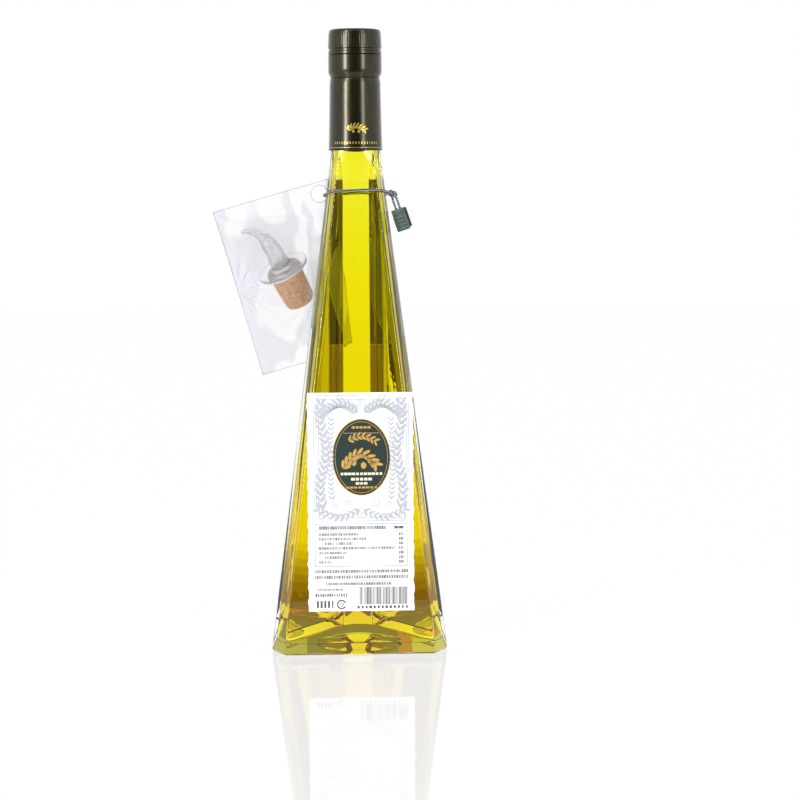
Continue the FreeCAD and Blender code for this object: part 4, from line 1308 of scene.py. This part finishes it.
def agglomerated_cork():
    """Pressed cork: tan grains of one or two millimetres with dark specks between them, waxed matt."""
    material, tree = new_material("agglomerated_cork")
    place = add_node(tree, "ShaderNodeTexCoord").outputs["Object"]
    grains = add_node(tree, "ShaderNodeTexVoronoi", {"Vector": place, "Scale": 1 / (CORK_GRAIN_MM * MM)})
    specks = add_node(tree, "ShaderNodeTexNoise", {
        "Vector": place, "Scale": CORK_SPECKS_PER_MM / MM, "Detail": 4.0, "Roughness": 0.7,
    })
    tone = add_node(tree, "ShaderNodeMix", {
        "Factor": grains.outputs["Color"], 6: linear("#B9804F"), 7: linear("#DDB08A"),
    }, data_type="RGBA")
    dark = add_node(tree, "ShaderNodeMapRange", {
        "Value": specks.outputs[0], "From Min": 0.56, "From Max": 0.66,
    })
    mix = add_node(tree, "ShaderNodeMix", {
        "Factor": dark.outputs[0], 6: tone.outputs[2], 7: linear("#6E4326"),
    }, data_type="RGBA")
    pits = add_node(tree, "ShaderNodeBump", {
        "Height": specks.outputs[0], "Strength": 0.5, "Distance": 0.0004,
    }, invert=True)
    shader = add_node(tree, "ShaderNodeBsdfPrincipled", {
        "Base Color": mix.outputs[2], "Roughness": 0.75, "Normal": pits.outputs[0],
    })
    finish_material(tree, shader.outputs[0])
    return material


def clear_plastic(name, tint, roughness):
    """Injection moulded polypropylene: clear, a little milky where it is thick."""
    material, tree = new_material(name)
    colour, _ = mottled(tree, tint, "#FFFFFF", MILKY_CLOUDS_PER_MM / MM)
    shader = add_node(tree, "ShaderNodeBsdfPrincipled", {
        "Base Color": colour, "Roughness": roughness, "IOR": 1.49, "Transmission Weight": 0.86,
    })
    finish_material(tree, shader.outputs[0])
    return material


def film_with_painted_sheen(name, low, high, tone):
    """Thin polypropylene film: clear, with pale grey patches laid by noise as painted reflection, and more
    opaque where it turns from the view as painted sheen.
    """
    material, tree = new_material(name)
    place = add_node(tree, "ShaderNodeTexCoord").outputs["Object"]
    place = add_node(tree, "ShaderNodeMapping", {
        "Vector": place, "Rotation": (0, BAG_TILT, 0), "Scale": (1.0, 0.3, 0.42),
    }).outputs[0]
    # These noise patches are painted reflection, laid at random rather than by the folds.
    patch = add_node(tree, "ShaderNodeTexNoise", {
        "Vector": place, "Scale": FILM_SHEEN_PATCHES_PER_MM / MM, "Detail": 1.5, "Distortion": 0.8,
    })
    edge = add_node(tree, "ShaderNodeMapRange", {
        "Value": patch.outputs[0], "From Min": 0.48, "From Max": 0.54, "To Min": low, "To Max": high,
    })
    # Opacity rising where the film turns from the view is painted sheen.
    rim = add_node(tree, "ShaderNodeLayerWeight", {"Blend": 0.25})
    more = add_node(tree, "ShaderNodeMath", {0: rim.outputs["Facing"], 1: 0.9, 2: edge.outputs[0]},
                    operation="MULTIPLY_ADD")
    colour = add_node(tree, "ShaderNodeMix", {
        "Factor": patch.outputs[0], 6: linear(tone), 7: linear("#D6D8E2"),
    }, data_type="RGBA")
    shader = add_node(tree, "ShaderNodeBsdfPrincipled", {
        "Base Color": colour.outputs[2], "Roughness": 0.12, "Alpha": more.outputs[0],
    })
    finish_material(tree, shader.outputs[0])
    return material


def bag_middle(across, down):
    """The film's place along its top edge and behind it, and the angle that it has turned to."""
    bend = BAG_BEND_TOP + (BAG_BEND_FOOT - BAG_BEND_TOP) * down / BAG_HEIGHT
    past = across - bend
    if past <= 0:
        return across, 0.0, 0.0
    angle = min(past / BAG_BEND_RADIUS, BAG_BEND_ANGLE)
    rest = past - angle * BAG_BEND_RADIUS
    along = bend + BAG_BEND_RADIUS * math.sin(angle) + rest * math.cos(angle)
    return along, BAG_BEND_RADIUS * (1 - math.cos(angle)) + rest * math.sin(angle), angle


def fold(across, down):
    """How far the wrinkles lift the film: folds that fan out from where it is pinched."""
    lift = 0.0
    for x, y, height, reach, count in BAG_FOLDS:
        away = math.hypot(across - x, down - y)
        turn = math.atan2(down - y, across - x + 0.01)
        lift += height * math.exp(-away / reach) * min(1.0, away / FOLD_START) * math.sin(count * turn + x)
    lift += SWELL_HEIGHT * noise.noise(Vector((across / SWELL_ACROSS, down / SWELL_DOWN, 3.1)))
    border = min(across, down, BAG_WIDTH - across, BAG_HEIGHT - down)
    return lift * min(1.0, border / FOLD_BORDER)


def bag_point(across, down, side, thick=None):
    """A point of the film's front or back (side -1 or 1), or of its middle where thick is 0."""
    along, behind, angle = bag_middle(across, down)
    ease = min(1.0, down / BAG_DEPTH_RUN)
    behind += BAG_DEPTH_TOP + (BAG_DEPTH_FOOT - BAG_DEPTH_TOP) * ease * ease * (3 - 2 * ease)
    if thick is None:
        spread = ((across - BAG_BULGE_ACROSS) / BAG_BULGE_WIDE) ** 2
        spread += ((down - BAG_BULGE_DOWN) / BAG_BULGE_TALL) ** 2
        thick = BAG_EDGE + FILM_SHARE * BAG_BULGE * math.exp(-spread / 2)
    lift = side * thick / 2 + fold(across, down)
    along -= lift * math.sin(angle)
    behind += lift * math.cos(angle)
    return BAG_CORNER + Vector((along * math.cos(BAG_TILT) + down * math.sin(BAG_TILT), behind,
                                along * math.sin(BAG_TILT) - down * math.cos(BAG_TILT)))


def pourer_samples():
    """Points on the pourer's skin that the film has to clear."""
    samples = axis_ring(0.5, FLANGE_RADIUS, 36)
    for share in (0, 0.25, 0.5, 0.75, 1):
        radius = CORK_TOP_RADIUS + (CORK_FOOT_RADIUS - CORK_TOP_RADIUS) * share
        samples += axis_ring(-share * CORK_LENGTH, radius, 20)
    for (x, y, z), radius in SPOUT:
        samples += [Vector((x, y + side * radius, z)) for side in (-1, 1)]
    return samples


# How far the film clears the pourer, how steeply it falls away from it, and how near the hole's edge
# the film's points are drawn onto that edge.
FILM_CLEAR, FILM_SLOPE, HOLE_REACH = 0.5, 0.75, 1.3


def make_film(material):
    """The film as a pillow drawn over what it holds, with a hang hole near its top corner."""
    samples = pourer_samples()
    hole = bag_point(BAG_HOLE_ACROSS, BAG_HOLE_DOWN, 0)
    grid, gone = {}, set()
    vertices = []
    for side in (-1, 1):
        for i in range(BAG_COLUMNS + 1):
            for j in range(BAG_ROWS + 1):
                across, down = BAG_WIDTH * i / BAG_COLUMNS, BAG_HEIGHT * j / BAG_ROWS
                p = bag_point(across, down, side)
                if 0 < i < BAG_COLUMNS and 0 < j < BAG_ROWS:
                    tent = [side * s.y + FILM_CLEAR - FILM_SLOPE * math.hypot(s.x - p.x, s.z - p.z)
                            for s in samples]
                    p.y = side * max(side * p.y, max(tent))
                flat = Vector((p.x - hole.x, 0, p.z - hole.z))
                if flat.length < BAG_HOLE_RADIUS:
                    if flat.length < BAG_HOLE_RADIUS - HOLE_REACH:
                        gone.add((i, j))
                    else:
                        flat = flat.normalized() * BAG_HOLE_RADIUS
                        p.x, p.z = hole.x + flat.x, hole.z + flat.z
                grid[side, i, j] = len(vertices)
                vertices.append(p)
    kept = [(i, j) for i in range(BAG_COLUMNS) for j in range(BAG_ROWS)
            if not {(i, j), (i + 1, j), (i + 1, j + 1), (i, j + 1)} & gone]
    faces, sides = [], {}
    for i, j in kept:
        loop = [(i, j), (i + 1, j), (i + 1, j + 1), (i, j + 1)]
        faces.append([grid[1, *c] for c in loop])
        faces.append([grid[-1, *c] for c in loop[::-1]])
        for a, b in zip(loop, loop[1:] + loop[:1]):
            if not sides.pop((b, a), None):
                sides[a, b] = True
    for a, b in sides:
        faces.append([grid[1, *b], grid[1, *a], grid[-1, *a], grid[-1, *b]])
    film = outward(new_piece("film_with_painted_sheen", vertices, faces, material))
    film.visible_shadow = False
    return film


SEAM_WIDE, SEAM_THICK, SEAM_STEPS, HOLE_STEPS = 0.55, 0.75, 40, 48


def make_seam(material):
    """The welded seam round the film and the pressed rim of its hang hole."""
    def band(outside, inside):
        rings, lift = [], Vector((0, SEAM_THICK / 2, 0))
        for out, back in zip(outside, inside):
            rings.append([out - lift, back - lift, back + lift, out + lift])
        vertices, faces = skin(rings)
        last = 4 * (len(rings) - 1)
        faces += [(last + j, last + (j + 1) % 4, (j + 1) % 4, j) for j in range(4)]
        return new_piece("band", vertices, faces, material, smooth=False)
    edge, inner = [], []
    corners = [(0, 0), (BAG_WIDTH, 0), (BAG_WIDTH, BAG_HEIGHT), (0, BAG_HEIGHT)]
    for (x, y), (u, v) in zip(corners, corners[1:] + corners[:1]):
        for k in range(SEAM_STEPS):
            across, down = x + (u - x) * k / SEAM_STEPS, y + (v - y) * k / SEAM_STEPS
            edge.append(bag_point(across, down, 0, 0.0))
            inner.append(bag_point(min(max(across, SEAM_WIDE), BAG_WIDTH - SEAM_WIDE),
                                   min(max(down, SEAM_WIDE), BAG_HEIGHT - SEAM_WIDE), 0, 0.0))
    ring_out, ring_in = [], []
    for k in range(HOLE_STEPS):
        turn = 2 * math.pi * k / HOLE_STEPS
        for ring, radius in ((ring_out, BAG_HOLE_RADIUS + SEAM_WIDE), (ring_in, BAG_HOLE_RADIUS - 0.05)):
            across = BAG_HOLE_ACROSS + radius * math.cos(turn)
            ring.append(bag_point(across, BAG_HOLE_DOWN - radius * math.sin(turn), 0, 0.0))
    seam = outward(join("bag_seam", [band(edge, inner), band(ring_out, ring_in)]))
    seam.visible_shadow = False
    return seam


def make_spout(material):
    """A curved drip-free spout that thins towards its lip, with its bore."""
    line = nurbs_line([place for place, _ in SPOUT])
    count = len(line)
    rings = []
    for wall, order in ((0.0, range(count)), (SPOUT_WALL, range(count - 1, -1, -1))):
        for k in order:
            share = k / (count - 1) * (len(SPOUT) - 1)
            low = min(int(share), len(SPOUT) - 2)
            wide, narrow = SPOUT[low][1], SPOUT[low + 1][1]
            radius = wide + (narrow - wide) * (share - low) - wall
            ahead = (line[min(k + 1, count - 1)] - line[max(k - 1, 0)]).normalized()
            side = ahead.cross(Vector((0, 1, 0))).normalized()
            other = side.cross(ahead)
            rings.append([line[k] / MM + (side * math.cos(a) + other * math.sin(a)) * radius
                          for a in (2 * math.pi * j / SPOUT_SIDES for j in range(SPOUT_SIDES))])
    rings = rings[::SPOUT_RING_STEP]
    ends = [sum(ring, Vector()) / len(ring) for ring in (rings[0], rings[-1])]
    return outward(new_piece("pourer_spout", *skin(rings, *ends), material))


def cut_unevenly(turn):
    """A cork's slight departure from round."""
    return 0.06 * math.sin(5 * turn) + 0.04 * math.sin(13 * turn + 1)


def make_bag():
    cork_crumb = agglomerated_cork()
    clear = clear_plastic("clear_polypropylene", "#FFFFFF", 0.03)
    milky = clear_plastic("milky_polypropylene", "#FBFCFC", 0.2)
    film = make_film(film_with_painted_sheen("polypropylene_film", 0.01, 0.24, "#A4A8B8"))
    seam = make_seam(film_with_painted_sheen("welded_film", 0.3, 0.55, "#A8A9B2"))
    cork = turned("pourer_cork", [
        (-CORK_LENGTH, CORK_FOOT_RADIUS - CORK_CHAMFER), (-CORK_LENGTH + 0.5, CORK_FOOT_RADIUS - 0.5),
        (-CORK_LENGTH + CORK_CHAMFER, CORK_FOOT_RADIUS), (-CORK_LENGTH * 0.6, CORK_FOOT_RADIUS + 0.45),
        (-CORK_LENGTH * 0.25, CORK_TOP_RADIUS - 0.2), (-0.6, CORK_TOP_RADIUS), (-0.1, CORK_TOP_RADIUS - 0.4),
    ], cork_crumb, cut_unevenly)
    flange = turned("pourer_flange", [
        (0.0, FLANGE_RADIUS - 0.5), (0.2, FLANGE_RADIUS), (FLANGE_THICK, FLANGE_RADIUS),
        (FLANGE_THICK + 0.2, FLANGE_RADIUS - 0.4), (FLANGE_THICK + 0.1, FLANGE_RADIUS - 1.2),
        (FLANGE_THICK - 0.1, COLLAR_RADIUS + 1.0), (FLANGE_THICK + 0.4, COLLAR_RADIUS),
        (FLANGE_THICK + COLLAR_HEIGHT - 0.4, COLLAR_RADIUS - 0.2),
        (FLANGE_THICK + COLLAR_HEIGHT, COLLAR_RADIUS - 0.7),
    ], clear)
    spout = make_spout(milky)
    for piece in (film, seam):
        ride(piece, "clear_film", "pourer_bag")
    ride(cork, "cork")
    for piece in (flange, spout):
        ride(piece, "pourer_plastic")


make_camera()
make_world()
make_floor()
make_lamps()
make_painted_light_cards()
make_painted_dark_reflection()
make_cord()
make_bag()
make_flask()
make_oil()
make_cap()
make_sleeve()
make_sleeve_print()
make_label()
make_print()

bpy.data.scenes.remove(bench)
scene = bpy.context.scene
scene.view_settings.view_transform = "Standard"
scene.cycles.max_bounces = 32
scene.cycles.transmission_bounces = 32
scene.cycles.transparent_max_bounces = 24
